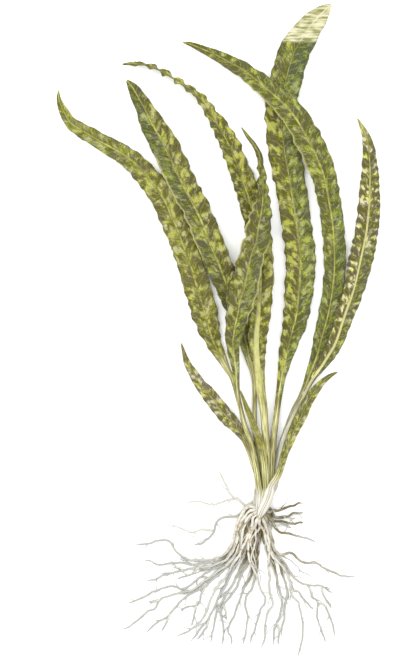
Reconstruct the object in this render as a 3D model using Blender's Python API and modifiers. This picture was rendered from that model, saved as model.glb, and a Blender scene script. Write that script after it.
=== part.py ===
"""A bare-rooted cryptocoryne lifted from the water and laid on a surface.

Ten ribbon leaves with crisped margins spread toward +Y from one short crown, and its roots toward -Y.
The origin is on the surface under the middle of the plant. Metres, +Z up.
"""

import math

import bmesh
import bpy
from mathutils import Vector

mm = 0.001

# Driving dimensions
stalk_thickness = 2.0 * mm
blade_thickness = 0.8 * mm
ruffle_pitch = 11.0 * mm
ruffle_height = 2.0 * mm
scallop = 0.05
root_radius = 0.8 * mm
root_tip_radius = 0.4 * mm
root_step = 9.0 * mm
fork_share = 0.7
gap = 0.3 * mm

# The crown's upper end, where the leaf stalks begin
crown_top = 16.0 * mm
crown_height = 5.9 * mm
crown_flatness = 0.73
crown_sides = 18

# The crown from its upper to its lower end, in millimetres: its middle, the distance and its half width
crown_rings = [
    (2.6, 16, 8), (2.6, 15, 7.9), (1, 8, 6.5), (-0.4, 1.5, 5.3), (-0.9, -3, 3.9), (-0.9, -6, 2.3),
    (-0.9, -7.9, 0.9),
]

# Each leaf from its base to its tip, in millimetres from the crown's lower end: the place of its middle
# line, its height over the surface, its half width and its roll about its own line in degrees
leaves = {
    "leaf_far_left": [
        (-2.6, 16, 4.1, 1.5, 0), (-5, 33, 4.1, 1.4, 0), (-9, 47, 4.3, 1.4, 0), (-15, 68, 4.4, 1.3, 0),
        (-20, 87, 3.6, 1.5, 0), (-24, 95, 3, 2.2, 0), (-28, 103, 2.6, 3.6, 0), (-33, 113, 2.5, 5.4, 0),
        (-37, 125, 2.5, 7.8, 0), (-41, 140, 2.5, 9.0, 0), (-50, 169, 2.5, 8.9, 0), (-61, 197, 2.5, 8.6, 0),
        (-68, 212, 2.5, 8.6, 0), (-87, 235, 2.5, 7.2, 0), (-111, 250, 2.4, 5.6, 0), (-121, 256, 2.4, 5.2, 0),
        (-130, 262, 2.4, 4.1, 0), (-135, 270, 2.8, 3.1, 0), (-138, 277, 3.4, 1.8, 0), (-138.5, 284, 4, 0.5, 0),
    ],
    "leaf_left": [
        (2.2, 16, 1.6, 1.5, 0), (-1.6, 34, 1.6, 1.4, 0), (-4, 46, 1.6, 1.4, 0), (-5, 62, 1.6, 1.4, 0),
        (-5, 82, 1.7, 1.6, 0), (-6, 92, 2, 2.1, 0), (-9, 104, 2.4, 3.4, 0), (-12, 118, 2.5, 5.4, 0),
        (-16, 131, 3.8, 6.8, 0), (-26, 157, 6.6, 8.6, 0), (-35, 179, 7.7, 9.3, 0), (-45, 203, 7.7, 9.3, 0),
        (-56, 224, 6.6, 9.6, 0), (-67, 248, 4.2, 9.3, 0), (-73, 258, 3.2, 8.5, 0), (-79, 270, 2.6, 6.4, 0),
        (-84, 279, 2.5, 5, 0), (-88, 286, 2.5, 3.5, 0), (-92, 291, 2.5, 0.8, 0),
    ],
    "leaf_back": [
        (2.8, 16, 6.6, 1.6, 0), (3, 39, 6.7, 1.9, 0), (2, 53, 7, 2.2, 0), (1, 67, 7.2, 2.7, 0),
        (-1, 80, 7.6, 3.2, 0), (-2, 94, 8, 3.8, 0), (-3, 106, 8.5, 5.1, 0), (-3, 118, 8.7, 6.5, 0),
        (-2, 131, 8.7, 7.5, 0), (-1, 158, 8.4, 8.5, 0), (-2, 182, 7.4, 8.2, 0), (-8, 208, 5.4, 8.2, 10),
        (-16, 231, 3.6, 7.8, 20), (-24, 250, 3.4, 7.6, 30), (-33, 265, 4, 6.6, 42), (-43, 279, 4.8, 5.8, 55),
        (-56, 289, 5, 5, 65), (-69, 297, 4.6, 4.4, 65), (-78, 301, 3.8, 3.4, 60), (-87, 302, 3, 2.4, 50),
        (-95, 302, 2.2, 0.6, 30),
    ],
    "leaf_front": [
        (-2.4, 16, 6.6, 1.5, 0), (-5, 33, 6.8, 1.5, 0), (-8, 46, 7, 1.5, 0), (-12, 57, 7.4, 1.6, 0),
        (-15, 69, 8, 1.6, 0), (-17, 80, 9.2, 1.8, 0), (-18, 94, 11.4, 2.6, 0), (-19, 102, 12.8, 3.6, 0),
        (-20, 111, 13.8, 4.6, 0), (-19, 121, 14.2, 6.5, 0), (-17, 131, 14.3, 7.8, 0), (-15, 141, 14.3, 9.4, 0),
        (-12, 151, 14.3, 9.8, 0), (-8, 170, 14.1, 8.9, 0), (-4, 181, 13.8, 8.6, 0), (-3, 190, 13.4, 8.6, 12),
        (-1, 200, 12.8, 8, 30), (0, 209, 12, 6.8, 45), (0, 220, 10.4, 5.2, 52), (-1, 230, 8.4, 4, 50),
        (-2, 239, 6.4, 2.8, 45), (-5, 246, 4.8, 2, 30), (-10, 253, 3.4, 1.2, 0), (-14, 259, 2.6, 0.5, 0),
    ],
    "leaf_tall": [
        (5.8, 16, 4.1, 1.4, 0), (7, 39, 4.1, 1.8, 0), (10, 65, 3.8, 2, 0), (13, 87, 3.2, 2.7, 0),
        (15, 97, 2.8, 4.2, 0), (17, 107, 2.6, 5.6, 0), (20, 118, 2.6, 6.8, 0), (23, 130, 2.6, 8.6, 0),
        (25, 146, 2.6, 9.5, 0), (26, 170, 2.6, 10.4, 0), (23, 196, 2.6, 10.3, 0), (19, 222, 2.6, 10.4, 0),
        (15, 245, 2.6, 10.9, 0), (13, 269, 2.6, 10.9, 0), (16, 290, 2.6, 10.8, 0), (22, 310, 2.6, 10.6, 0),
        (27, 319, 2.6, 9.5, 0), (33, 328, 2.6, 8.4, 0), (41, 337, 2.6, 5.4, 0), (47, 342.5, 2.8, 0.8, 0),
    ],
    "leaf_arched": [
        (5.6, 16, 1.6, 1.5, 0), (10.6, 34, 1.6, 1.5, 0), (14, 46, 1.6, 1.5, 0), (21, 66, 1.6, 1.5, 0),
        (26, 75, 1.6, 1.7, 0), (30, 84, 1.8, 2.2, 0), (33, 92, 2.1, 3.1, 0), (37, 102, 2.5, 4.2, 0),
        (40, 113, 2.5, 5.6, 0), (46, 136, 2.5, 6.8, 0), (49, 158, 2.5, 7.2, 0), (49, 182, 2.5, 7.8, 0),
        (46, 206, 4, 7.8, 0), (41, 228, 7, 8.6, 0), (31, 250, 8.8, 9.2, 0), (20, 268, 9, 8.2, 0),
        (5, 283, 8.4, 7, 0), (-12, 297, 5, 5.6, 0), (-22, 303, 3.4, 4.8, 0), (-31, 308, 2.6, 3.7, 0),
        (-47, 315, 2.4, 1.8, 0), (-54, 317, 2.4, 0.5, 0),
    ],
    "leaf_right": [
        (9, 16, 4.1, 1.4, 0), (12, 34, 4.2, 1.5, 0), (14, 46, 4.4, 1.5, 0), (22, 65, 4.7, 1.5, 0),
        (27, 74, 5, 1.6, 0), (31, 82, 5.4, 1.6, 0), (35, 89, 6, 2, 0), (40, 96, 6.8, 3, 0),
        (45, 104, 7.3, 4.4, 0), (50, 113, 7.5, 5, 0), (56, 131, 7.4, 6.2, 0), (62, 148, 6.6, 7, 0),
        (67, 169, 5, 8.2, 0), (71, 188, 3.4, 7.9, 0), (73, 208, 2.6, 7.4, 0), (73.5, 228, 2.5, 5.8, 0),
        (73, 239, 2.5, 4.8, 0), (72, 248, 2.5, 3.7, 0), (70, 255, 2.6, 2.4, 0), (65, 265, 3, 0.5, 0),
    ],
    "leaf_small_left": [
        (-1.1, 16, 1.6, 1.5, 0), (-5.4, 29, 1.6, 1.4, 0), (-8.4, 38, 1.4, 1.4, 0), (-11, 45, 1.3, 2, 0),
        (-14.5, 51, 1.4, 3.2, 0), (-18.5, 56, 1.6, 4.4, 0), (-26, 64, 1.9, 5.2, 0), (-36, 77, 1.9, 4.8, 0),
        (-42, 84, 1.9, 3.9, 0), (-47, 92, 1.9, 3.1, 0), (-51, 99, 2, 2.2, 0), (-55, 112, 2.4, 0.5, 0),
    ],
    "leaf_small_right": [
        (6.2, 16, 9.2, 1.5, 0), (11, 24, 9.2, 2, 0), (16, 40, 9.3, 2.8, 0), (23, 56, 9.5, 3.7, 0),
        (27, 64, 9.6, 3.9, 0), (30, 71, 9.5, 3.6, 0), (35, 79, 9.2, 3.1, 0), (40, 85, 8.8, 2.4, 0),
        (46, 90, 8.2, 1.5, 0), (51, 92.5, 7.6, 0.5, 0),
    ],
    "leaf_young": [
        (2.4, 16, 9.2, 1.4, 0), (1.4, 29, 9.2, 1.8, 0), (0, 39, 9.4, 2.2, 0), (-2, 47, 9.8, 2.4, 0),
        (-5, 54, 10.2, 2.4, 0), (-7.4, 61, 10.7, 2.2, 0), (-10.4, 68, 11.3, 1.8, 0), (-15, 80, 12.4, 0.5, 0),
    ],
}

# Each root from the crown to its tip, in millimetres from the crown's lower end: its place and the height
# of its underside over the surface
roots = {
    "root_01": [
        (4.9, -2.6, 5.4), (7.5, -1.6, 3), (12.2, -1.9, 0.6), (16.9, -0.3, 0), (21.5, 1.2, 0),
        (27.2, 3.4, 0),
    ],
    "root_02": [
        (5.2, -0.6, 2.6), (7.4, -4.4, 0.8), (9.2, -6.4, 0), (14.1, -6.9, 0), (18, -6.3, 0),
        (21.5, -3.9, 0), (28.9, -3.4, 0),
    ],
    "root_03": [
        (3.9, -5, 5.6), (6.5, -7.9, 3), (9.5, -9, 1), (14.1, -9.2, 0), (18, -10.1, 0), (22.7, -10.9, 0),
        (26.5, -9.7, 0), (29.1, -10.2, 0),
    ],
    "root_04": [
        (3, -2.6, 0.6), (7, -8.8, 0.2), (8.6, -12.9, 0), (11.2, -16.3, 0), (16.9, -17.5, 0),
        (23.5, -18.7, 0), (28.6, -20.7, 0), (37.4, -23.8, 0),
    ],
    "root_05": [
        (2.5, -6.9, 6), (4.1, -10.9, 3), (5.4, -15, 2.2), (6.4, -21.8, 2), (7.5, -26.2, 2),
        (9.2, -29.2, 2), (11.9, -31.3, 1.8), (15, -31.6, 1), (19.7, -30.6, 0), (24.5, -34, 0),
        (28.9, -37, 0), (38.8, -38.8, 0), (41.1, -40.9, 0), (51, -44.7, 0), (56.9, -46.8, 0),
        (65.1, -47.1, 0),
    ],
    "root_06": [
        (3.9, -4.8, 2.7), (4.4, -10, 0.8), (4.5, -15, 0), (5.7, -21.8, 0), (7.5, -27.2, 0),
        (10.2, -31.6, 0), (13.3, -35, 0), (16.7, -39.1, 0), (19.4, -44.2, 0), (23.1, -49, 0),
        (28.8, -52.4, 0), (35.2, -53.5, 0), (39.9, -53, 0), (45.2, -56.4, 0), (49.3, -58.8, 0),
    ],
    "root_07": [
        (0.6, -8.5, 6), (2, -11.2, 3), (3.3, -15, 2.2), (4.5, -21.8, 2), (5.4, -26.5, 2), (6.9, -30.9, 2),
        (9.9, -35.4, 1.8), (13.6, -40.1, 0.8), (17, -44.9, 0), (18.5, -50.3, 0), (19.2, -55.8, 0),
        (20.4, -60.9, 0), (24.1, -64.6, 0), (26.5, -71.7, 0), (27.9, -78.7, 0), (27, -91.1, 0),
        (24.3, -103.6, 0),
    ],
    "root_08": [
        (2.2, -6.4, 0.6), (2.5, -10.6, 0.1), (2.6, -15, 0), (3.7, -21.8, 0), (5.3, -27.2, 0),
        (7.6, -32.6, 0), (10.6, -37.1, 0), (12.6, -41.5, 0), (13.8, -46.5, 0), (16, -51.7, 0),
        (17.1, -57.1, 0), (16.3, -63.9, 0), (15.3, -73.4, 0), (12.9, -88.1, 0),
    ],
    "root_09": [
        (0.7, -8.2, 2.8), (0.6, -11.2, 0.8), (0.7, -15, 0), (1.7, -21.8, 0), (3.1, -27.2, 0),
        (5.3, -32.6, 0), (7.9, -38.1, 0), (9.5, -44.2, 0), (10.7, -50, 0), (12.2, -55.8, 0),
        (13.9, -64.6, 0), (12.9, -72.1, 0), (10.1, -78.5, 0), (8.2, -85.7, 0), (7.1, -95.9, 0),
    ],
    "root_10": [
        (-1.8, -9.1, 6), (-0.5, -11.6, 3), (1.3, -15, 2.2), (2.6, -21.8, 2), (3.6, -26.5, 2),
        (4.1, -31.3, 2), (4.2, -36, 2), (4.5, -42.8, 1), (5.1, -50.3, 0), (5.6, -57.7, 0), (7.2, -62.9, 0),
        (6.8, -67.6, 0), (3.6, -72.8, 0), (2.4, -79.9, 0), (1.8, -88.1, 0), (-1.2, -96.9, 0),
    ],
    "root_11": [
        (-3.9, -7.8, 6), (-4.4, -11.3, 3), (-5.7, -15, 2.2), (-7.6, -18.7, 2), (-8.9, -22.4, 2),
        (-9.5, -27.9, 2), (-8.6, -34.7, 2), (-6.4, -39.4, 2), (-4.1, -44.2, 2), (-2.7, -49.6, 1),
        (-1.4, -55.1, 0), (1.2, -60.5, 0), (1.5, -64.6, 0), (-0.8, -68.7, 0), (-3, -76.8, 0),
        (-5.8, -85, 0), (-9.3, -94.5, 0),
    ],
    "root_12": [
        (-1.3, -8.8, 2.8), (-1.4, -11.6, 0.6), (-1.4, -15, 0), (-1.8, -21.8, 0), (-2.4, -28.6, 0),
        (-3.1, -35.4, 0), (-3.7, -42.2, 0), (-5.2, -49, 0), (-7.8, -55.8, 0), (-10.6, -61.2, 0),
        (-11.2, -66.6, 0), (-9.8, -73.4, 0), (-11.7, -88.1, 0), (-13.1, -95.2, 0),
    ],
    "root_13": [
        (-3.1, -8.2, 2.8), (-3.4, -11.4, 0.6), (-3.5, -15, 0), (-4.2, -21.8, 0), (-4.9, -28.6, 0),
        (-5.4, -35.4, 0), (-6.3, -42.2, 0), (-7.6, -46.9, 0), (-9.8, -51, 0), (-13.5, -56.4, 0),
        (-15.2, -63.5, 0), (-18, -68.3, 0), (-19.9, -75.2, 0), (-22.2, -82.3, 0), (-22, -85.7, 0),
        (-20.7, -89.1, 0), (-21.9, -96.6, 0),
    ],
    "root_14": [
        (-3.6, -6.4, 0.5), (-5.2, -10.8, 0.1), (-5.5, -15, 0), (-6.6, -21.8, 0), (-7.6, -28.6, 0),
        (-8.7, -35.4, 0), (-11.2, -41.5, 0), (-14.7, -47.6, 0), (-17.4, -54.4, 0), (-21.4, -60.5, 0),
        (-25.7, -66, 0), (-28, -72.1, 0), (-26.8, -78.6, 0), (-25.7, -87, 0), (-27.9, -96.2, 0),
    ],
    "root_15": [
        (-5.6, -5.2, 2.8), (-6.8, -10, 1.1), (-7.5, -15, 0), (-8.8, -21.8, 0), (-10.2, -28.6, 0),
        (-11.8, -35.4, 0), (-15.2, -42.2, 0), (-19, -49, 0), (-22.4, -55.8, 0), (-26.2, -62.6, 0),
        (-30.1, -70, 0), (-33.6, -84.3, 0), (-35.2, -94.5, 0),
    ],
    "root_16": [
        (-4.6, -2.8, 0.5), (-8.2, -9, 0.1), (-9.5, -15, 0), (-11, -21.8, 0), (-12.6, -28.6, 0),
        (-15.1, -35.4, 0), (-19, -42.2, 0), (-22.8, -49, 0), (-26.5, -55.8, 0), (-30.5, -62.6, 0),
        (-35, -73.4, 0), (-38.5, -78.6, 0), (-41.9, -81.9, 0), (-49.8, -92.8, 0),
    ],
    "root_17": [
        (-5.3, -5.8, 6), (-6.4, -10.9, 3), (-7.9, -15, 2.2), (-9.9, -18.7, 2), (-11.6, -22.4, 2),
        (-13.5, -26.5, 2), (-15.4, -30.6, 2), (-17.8, -35.4, 2), (-20.5, -40.1, 1), (-23.5, -44.9, 0),
        (-27.5, -50.3, 0), (-31.3, -55.8, 0), (-35.6, -66.2, 0), (-38.2, -72.4, 0), (-42.4, -78.1, 0),
        (-46.9, -82.3, 0), (-52.6, -85.4, 0), (-60, -88.8, 0),
    ],
    "root_18": [
        (-6.6, -1.4, 2.8), (-9.6, -8.2, 1.1), (-11.4, -15, 0), (-13.1, -21.8, 0), (-15.2, -28.6, 0),
        (-18.4, -34, 0), (-22.1, -38.8, 0), (-26.7, -43.5, 0), (-31.3, -47.6, 0), (-36, -51.7, 0),
        (-41.5, -55.4, 0), (-47.9, -58.6, 0), (-52.6, -61.9, 0), (-57.9, -66, 0), (-61.9, -71.4, 0),
        (-69.4, -76.7, 0), (-72.9, -79.4, 0), (-81.4, -86.6, 0),
    ],
    "root_19": [
        (-6.2, -3.6, 6), (-8.4, -5.7, 4.2), (-11, -9.9, 2.9), (-13.2, -15, 2), (-14.8, -21.8, 2),
        (-16.7, -27.9, 2), (-18.6, -32, 2), (-21.1, -35.7, 2), (-24.1, -39.4, 1.4), (-30.6, -43.9, 0.2),
        (-37.1, -48.3, 0), (-42.5, -52.7, 0), (-48.6, -56.2, 0), (-54.4, -57.3, 0), (-59.4, -59, 0),
        (-69, -62.4, 0), (-72.9, -69, 0), (-77.5, -70.9, 0), (-91, -81.3, 0), (-98.3, -83.4, 0),
    ],
    "root_20": [
        (-4.6, 0.9, 0.5), (-11, -7, 0.1), (-13.4, -15, 0), (-15.1, -21.8, 0), (-17.7, -27.9, 0),
        (-20.7, -32.6, 0), (-24.5, -36.4, 0), (-28.8, -39.8, 0), (-33.6, -42.6, 0), (-39.4, -45.7, 0),
        (-44.9, -50, 0), (-49.4, -53.4, 0), (-54.4, -55.1, 0), (-58.8, -54, 0), (-63.9, -53.7, 0),
        (-74.1, -56.7, 0), (-78, -59.5, 0), (-94.2, -66.8, 0),
    ],
    "root_21": [
        (-6.8, -1.3, 6), (-9.2, -2.6, 4), (-12.2, -6.4, 3), (-14.3, -10.5, 2.4), (-15.5, -15, 2),
        (-17, -21.8, 2), (-19.2, -27.9, 2), (-21.8, -32.3, 2), (-25.2, -35.6, 2), (-29.5, -38.5, 1),
        (-34.7, -40.1, 0), (-41.3, -40.5, 0), (-48.1, -41.1, 0), (-53.7, -42.6, 0), (-63.9, -46, 0),
        (-67.3, -46.2, 0), (-72.9, -48.8, 0), (-80.2, -49.9, 0),
    ],
    "root_22": [
        (-6.8, 2.4, 2.8), (-11.6, -4, 0.8), (-14.3, -9.5, 0.2), (-15.5, -15, 0), (-17.3, -21.8, 0),
        (-20.3, -27.9, 0), (-23.4, -32, 0), (-27.2, -35.2, 0), (-32, -37.3, 0), (-40.1, -37.9, 0),
        (-44.9, -39, 0), (-50.3, -38.4, 0), (-54.4, -37.5, 0), (-58.5, -37.7, 0), (-69, -39.2, 0),
        (-76.3, -36.7, 0), (-79.7, -36.4, 0),
    ],
    "root_23": [
        (-7, 1.1, 6), (-9.9, 0.5, 4.4), (-12.9, -2.3, 3.2), (-15.2, -6.1, 2.6), (-16.9, -10.5, 2.2),
        (-18, -15, 2), (-19.3, -21.8, 2), (-21.8, -27.2, 2), (-24.3, -30.7, 2), (-28.3, -33.2, 1.2),
        (-33.7, -35, 0), (-39.6, -35.3, 0), (-47.6, -36.7, 0), (-50.3, -35.3, 0), (-53.7, -33, 0),
        (-59.4, -28.8, 0), (-63.9, -22.4, 0), (-71.8, -22.6, 0), (-79.7, -25, 0), (-88.7, -25.6, 0),
    ],
    "root_24": [
        (-4.8, 4.6, 0.9), (-10.6, 0.3, 0.3), (-15, -3.9, 0), (-19.7, -6.3, 0), (-26, -7.1, 0),
        (-30.2, -9.5, 0), (-32.1, -12.9, 0), (-33.5, -17.2, 0), (-37.9, -21.5, 0), (-42.4, -24.3, 0),
        (-46.9, -24.8, 0),
    ],
}

# The forks of the roots, each in the same form, from a point inside the root that it grows on
forks = {
    "root_02": [
        [(15, -6.7, 0.1), (19.7, -7.3, 0), (23.1, -7.5, 0)],
    ],
    "root_04": [
        [(9.2, -13.7, 0.1), (11.6, -12.2, 0), (17, -12.8, 0), (20.4, -13.9, 0)],
    ],
    "root_06": [
        [
            (30.9, -52.9, 0.1), (34, -57.5, 0), (34.2, -61.2, 0), (38.1, -64.3, 0), (38.1, -76.2, 0),
            (40.5, -84.6, 0), (43.5, -92.8, 0),
        ],
        [(39.9, -53, 0.1), (42.2, -58.8, 0), (47.6, -68.7, 0)],
        [(38.3, -66.3, 0.1), (41.1, -65.8, 0), (44.6, -69.4, 0), (48.1, -80.9, 0), (49.6, -88.1, 0)],
    ],
    "root_07": [
        [(19.3, -56.8, 0.1), (25.2, -57.8, 0), (28.8, -62.4, 0), (35.4, -69.4, 0)],
    ],
    "root_09": [
        [(10.2, -78.4, 0.1), (11.4, -83.6, 0), (11.3, -93.8, 0)],
    ],
    "root_14": [
        [(-26.1, -66.5, 0.1), (-24.5, -70.7, 0), (-23.8, -76.2, 0)],
    ],
    "root_16": [
        [(-36, -75.1, 0.1), (-37.7, -81.6, 0), (-44.2, -90.1, 0)],
    ],
    "root_18": [
        [
            (-37.7, -52.9, 0.1), (-41.1, -58.5, 0), (-41.8, -62.6, 0), (-43.9, -65.6, 0),
            (-52.6, -68.7, 0), (-55.8, -70.4, 0),
        ],
        [(-62.4, -72.1, 0.1), (-65, -77.5, 0), (-68.8, -84.3, 0)],
        [(-44.2, -63.6, 0.1), (-45.2, -71.4, 0), (-47.9, -80.9, 0)],
    ],
    "root_19": [
        [(-68.8, -62.4, 0.1), (-73.1, -63.9, 0), (-77.2, -64.1, 0)],
    ],
    "root_21": [
        [(-42.8, -40.5, 0.1), (-46.9, -44.2, 0), (-49.6, -45.6, 0), (-57.7, -49, 0)],
        [(-54.1, -42.7, 0.1), (-56.8, -40.9, 0), (-60.7, -41.1, 0)],
    ],
    "root_24": [
        [
            (-33, -15.6, 0.1), (-38.1, -15.1, 0), (-42.4, -15, 0), (-48.7, -16.6, 0), (-54.9, -13.9, 0),
            (-64.5, -12.1, 0),
        ],
        [
            (-10.6, 0.3, 0.4), (-14.3, 3.7, 0), (-17.7, 5.2, 0), (-22.4, 5.4, 0), (-29.2, 2.9, 0),
            (-33.3, 1.4, 0), (-42.8, 4.1, 0), (-52.4, 3.4, 0),
        ],
        [(-14.3, 3.7, 0.1), (-16.3, 6.5, 0), (-20.4, 8.4, 0), (-23.5, 13.6, 0), (-29.2, 25.8, 0)],
    ],
}

scene_objects = list(bpy.data.objects)
for old_object in scene_objects:
    bpy.data.objects.remove(old_object, do_unlink=True)

plant = bpy.data.collections.new("cryptocoryne")
bpy.context.scene.collection.children.link(plant)
operands = bpy.data.collections.new("operands")
bpy.context.scene.collection.children.link(operands)
middle = bpy.data.objects.new("middle", None)
plant.objects.link(middle)


def finish(name, color, roughness):
    """A plain Principled material."""
    material = bpy.data.materials.new(name)
    material.use_nodes = True
    shader = material.node_tree.nodes["Principled BSDF"]
    shader.inputs["Base Color"].default_value = (*color, 1.0)
    shader.inputs["Roughness"].default_value = roughness
    shader.inputs["Metallic"].default_value = 0.0
    material.diffuse_color = (*color, 1.0)
    return material


def through(points, places):
    """Points on a smooth curve through the given points, at distances given as shares of the whole."""
    rows = [Vector(point) for point in points]
    rows = [rows[0] * 2 - rows[1], *rows, rows[-1] * 2 - rows[-2]]
    fine = []
    steps = 12
    for before, start, end, after in zip(rows, rows[1:], rows[2:], rows[3:]):
        for step in range(steps):
            t = step / steps
            fine.append(0.5 * (
                2 * start + (end - before) * t
                + (2 * before - 5 * start + 4 * end - after) * t ** 2
                + (3 * start - before - 3 * end + after) * t ** 3
            ))
    fine.append(rows[-2])
    lengths = [0.0]
    for start, end in zip(fine, fine[1:]):
        lengths.append(lengths[-1] + math.hypot(end[0] - start[0], end[1] - start[1]))
    found = []
    piece = 0
    for place in places:
        distance = place * lengths[-1]
        while piece < len(fine) - 2 and lengths[piece + 1] < distance:
            piece += 1
        part = (distance - lengths[piece]) / (lengths[piece + 1] - lengths[piece])
        found.append(fine[piece].lerp(fine[piece + 1], part))
    return found, lengths[-1]


def add_leaf(name, rows, material):
    """One leaf, stalk and blade in one: a ribbon of two strips with wavy margins, thicker in the stalk."""
    _, length = through(rows, [0.0, 1.0])
    count = round(length / (ruffle_pitch / mm / 2))
    stations, _ = through(rows, [number / count for number in range(count + 1)])
    widest = max(range(count + 1), key=lambda number: stations[number][3])
    bm = bmesh.new()
    bmesh.ops.create_grid(bm, x_segments=count, y_segments=2, size=1.0)
    weights = {}
    for vertex in bm.verts:
        number = round((vertex.co.x + 1) / 2 * count)
        side = round(vertex.co.y)
        x, y, z, half_width, roll = stations[number]
        before = stations[max(number - 1, 0)]
        after = stations[min(number + 1, count)]
        along = Vector((after[0] - before[0], after[1] - before[1], 0)).normalized()
        if number == 0:
            along = Vector((0, 1, 0))
            y = (crown_top + gap) / mm
        across = Vector((-along.y, along.x, 0))
        ruffle = min(max((half_width - 2.2) / 3.0, 0.0), 1.0)
        blade = 1.0 if number > widest else ruffle
        wave = side * (-1) ** number * ruffle
        reach = side * half_width * (1 + scallop * wave)
        lift = wave * ruffle_height / mm
        tilt = math.radians(roll)
        place = Vector((x, y, z))
        place += across * (reach * math.cos(tilt) - lift * math.sin(tilt))
        place.z += reach * math.sin(tilt) + lift * math.cos(tilt)
        thickness = stalk_thickness + (blade_thickness - stalk_thickness) * blade
        place.z = max(place.z, thickness / 2 / mm)
        vertex.co = place * mm
        weights[vertex.index] = thickness / stalk_thickness
    bmesh.ops.recalc_face_normals(bm, faces=bm.faces)
    mesh = bpy.data.meshes.new(name)
    bm.to_mesh(mesh)
    bm.free()
    leaf = bpy.data.objects.new(name, mesh)
    plant.objects.link(leaf)
    leaf.parent = middle
    group = leaf.vertex_groups.new(name="thickness")
    for index, weight in weights.items():
        group.add([index], weight, "REPLACE")
    shell = leaf.modifiers.new("thickness", "SOLIDIFY")
    shell.thickness = stalk_thickness
    shell.offset = 0.0
    shell.vertex_group = group.name
    mesh.materials.append(material)
    return leaf


def add_tube(name, rows, start_radius, end_radius):
    """A tapering tube of six sides that lies along the rows."""
    _, length = through(rows, [0.0, 1.0])
    count = max(round(length * mm / root_step), 3)
    places = [number / count for number in range(count + 1)]
    points, _ = through(rows, places)
    curve = bpy.data.curves.new(name, "CURVE")
    curve.dimensions = "3D"
    curve.bevel_depth = start_radius
    curve.bevel_resolution = 1
    curve.use_fill_caps = True
    spline = curve.splines.new("POLY")
    spline.points.add(len(points) - 1)
    for place, knot, point in zip(places, spline.points, points):
        radius = start_radius + (end_radius - start_radius) * place
        knot.co = (point[0] * mm, point[1] * mm, point[2] * mm + radius, 1.0)
        knot.radius = radius / start_radius
    return bpy.data.objects.new(name, curve)


def as_mesh(tube, collection):
    """The tube as a mesh with its caps welded on, in place of the curve."""
    collection.objects.link(tube)
    bpy.context.view_layer.update()
    evaluated = tube.evaluated_get(bpy.context.evaluated_depsgraph_get())
    mesh = bpy.data.meshes.new_from_object(evaluated)
    bm = bmesh.new()
    bm.from_mesh(mesh)
    bmesh.ops.remove_doubles(bm, verts=bm.verts, dist=0.00001)
    bm.to_mesh(mesh)
    bm.free()
    name = tube.name
    placed = tube.matrix_world.copy()
    bpy.data.objects.remove(tube, do_unlink=True)
    solid = bpy.data.objects.new(name, mesh)
    solid.matrix_world = placed
    collection.objects.link(solid)
    return solid


def add_root(name, rows, branches, material):
    """One root, with its forks joined to it."""
    root = as_mesh(add_tube(name, rows, root_radius, root_tip_radius), plant)
    root.parent = middle
    root.data.materials.append(material)
    for number, branch in enumerate(branches, start=1):
        fork = add_tube(f"{name}_fork_{number}", branch, root_radius * fork_share, root_tip_radius * fork_share)
        fork = as_mesh(fork, operands)
        fork.parent = middle
        fork.hide_render = True
        fork.display_type = "WIRE"
        union = root.modifiers.new(f"fork {number}", "BOOLEAN")
        union.operation = "UNION"
        union.solver = "EXACT"
        union.object = fork
    return root


def add_crown(material):
    """The short stem that the leaves and the roots grow from: a leaning lump, flattened where it lies."""
    widest = crown_rings[0][2]
    curve = bpy.data.curves.new("crown", "CURVE")
    curve.dimensions = "3D"
    curve.bevel_depth = widest * mm
    curve.bevel_resolution = (crown_sides - 4) // 2
    curve.use_fill_caps = True
    spline = curve.splines.new("POLY")
    spline.points.add(len(crown_rings) - 1)
    for knot, (across, along, half_width) in zip(spline.points, crown_rings):
        knot.co = (across * mm, along * mm, 0, 1)
        knot.radius = half_width / widest
    crown = as_mesh(bpy.data.objects.new("crown", curve), plant)
    crown.location.z = crown_height
    crown.scale.z = crown_flatness
    crown.parent = middle
    crown.data.materials.append(material)
    return crown


leaf_green = finish("leaf green", (0.30, 0.31, 0.06), 0.45)
crown_cream = finish("crown cream", (0.80, 0.77, 0.62), 0.5)
root_brown = finish("root brown", (0.23, 0.19, 0.13), 0.7)

add_crown(crown_cream)
for leaf_name, leaf_rows in leaves.items():
    add_leaf(leaf_name, leaf_rows, leaf_green)
for root_name, root_rows in roots.items():
    add_root(root_name, root_rows, forks.get(root_name, []), root_brown)

# The origin comes under the middle of the plant's outline
bpy.context.view_layer.update()
graph = bpy.context.evaluated_depsgraph_get()
corners = []
for piece in plant.objects:
    if piece.type == "MESH":
        shape = piece.evaluated_get(graph).to_mesh()
        corners += [piece.matrix_world @ vertex.co for vertex in shape.vertices]
lowest = [min(corner[axis] for corner in corners) for axis in range(3)]
highest = [max(corner[axis] for corner in corners) for axis in range(3)]
middle.location = (-(lowest[0] + highest[0]) / 2, -(lowest[1] + highest[1]) / 2, -lowest[2])
bpy.context.view_layer.update()
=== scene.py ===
import math
import random

import bmesh
import bpy
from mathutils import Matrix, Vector, noise


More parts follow.
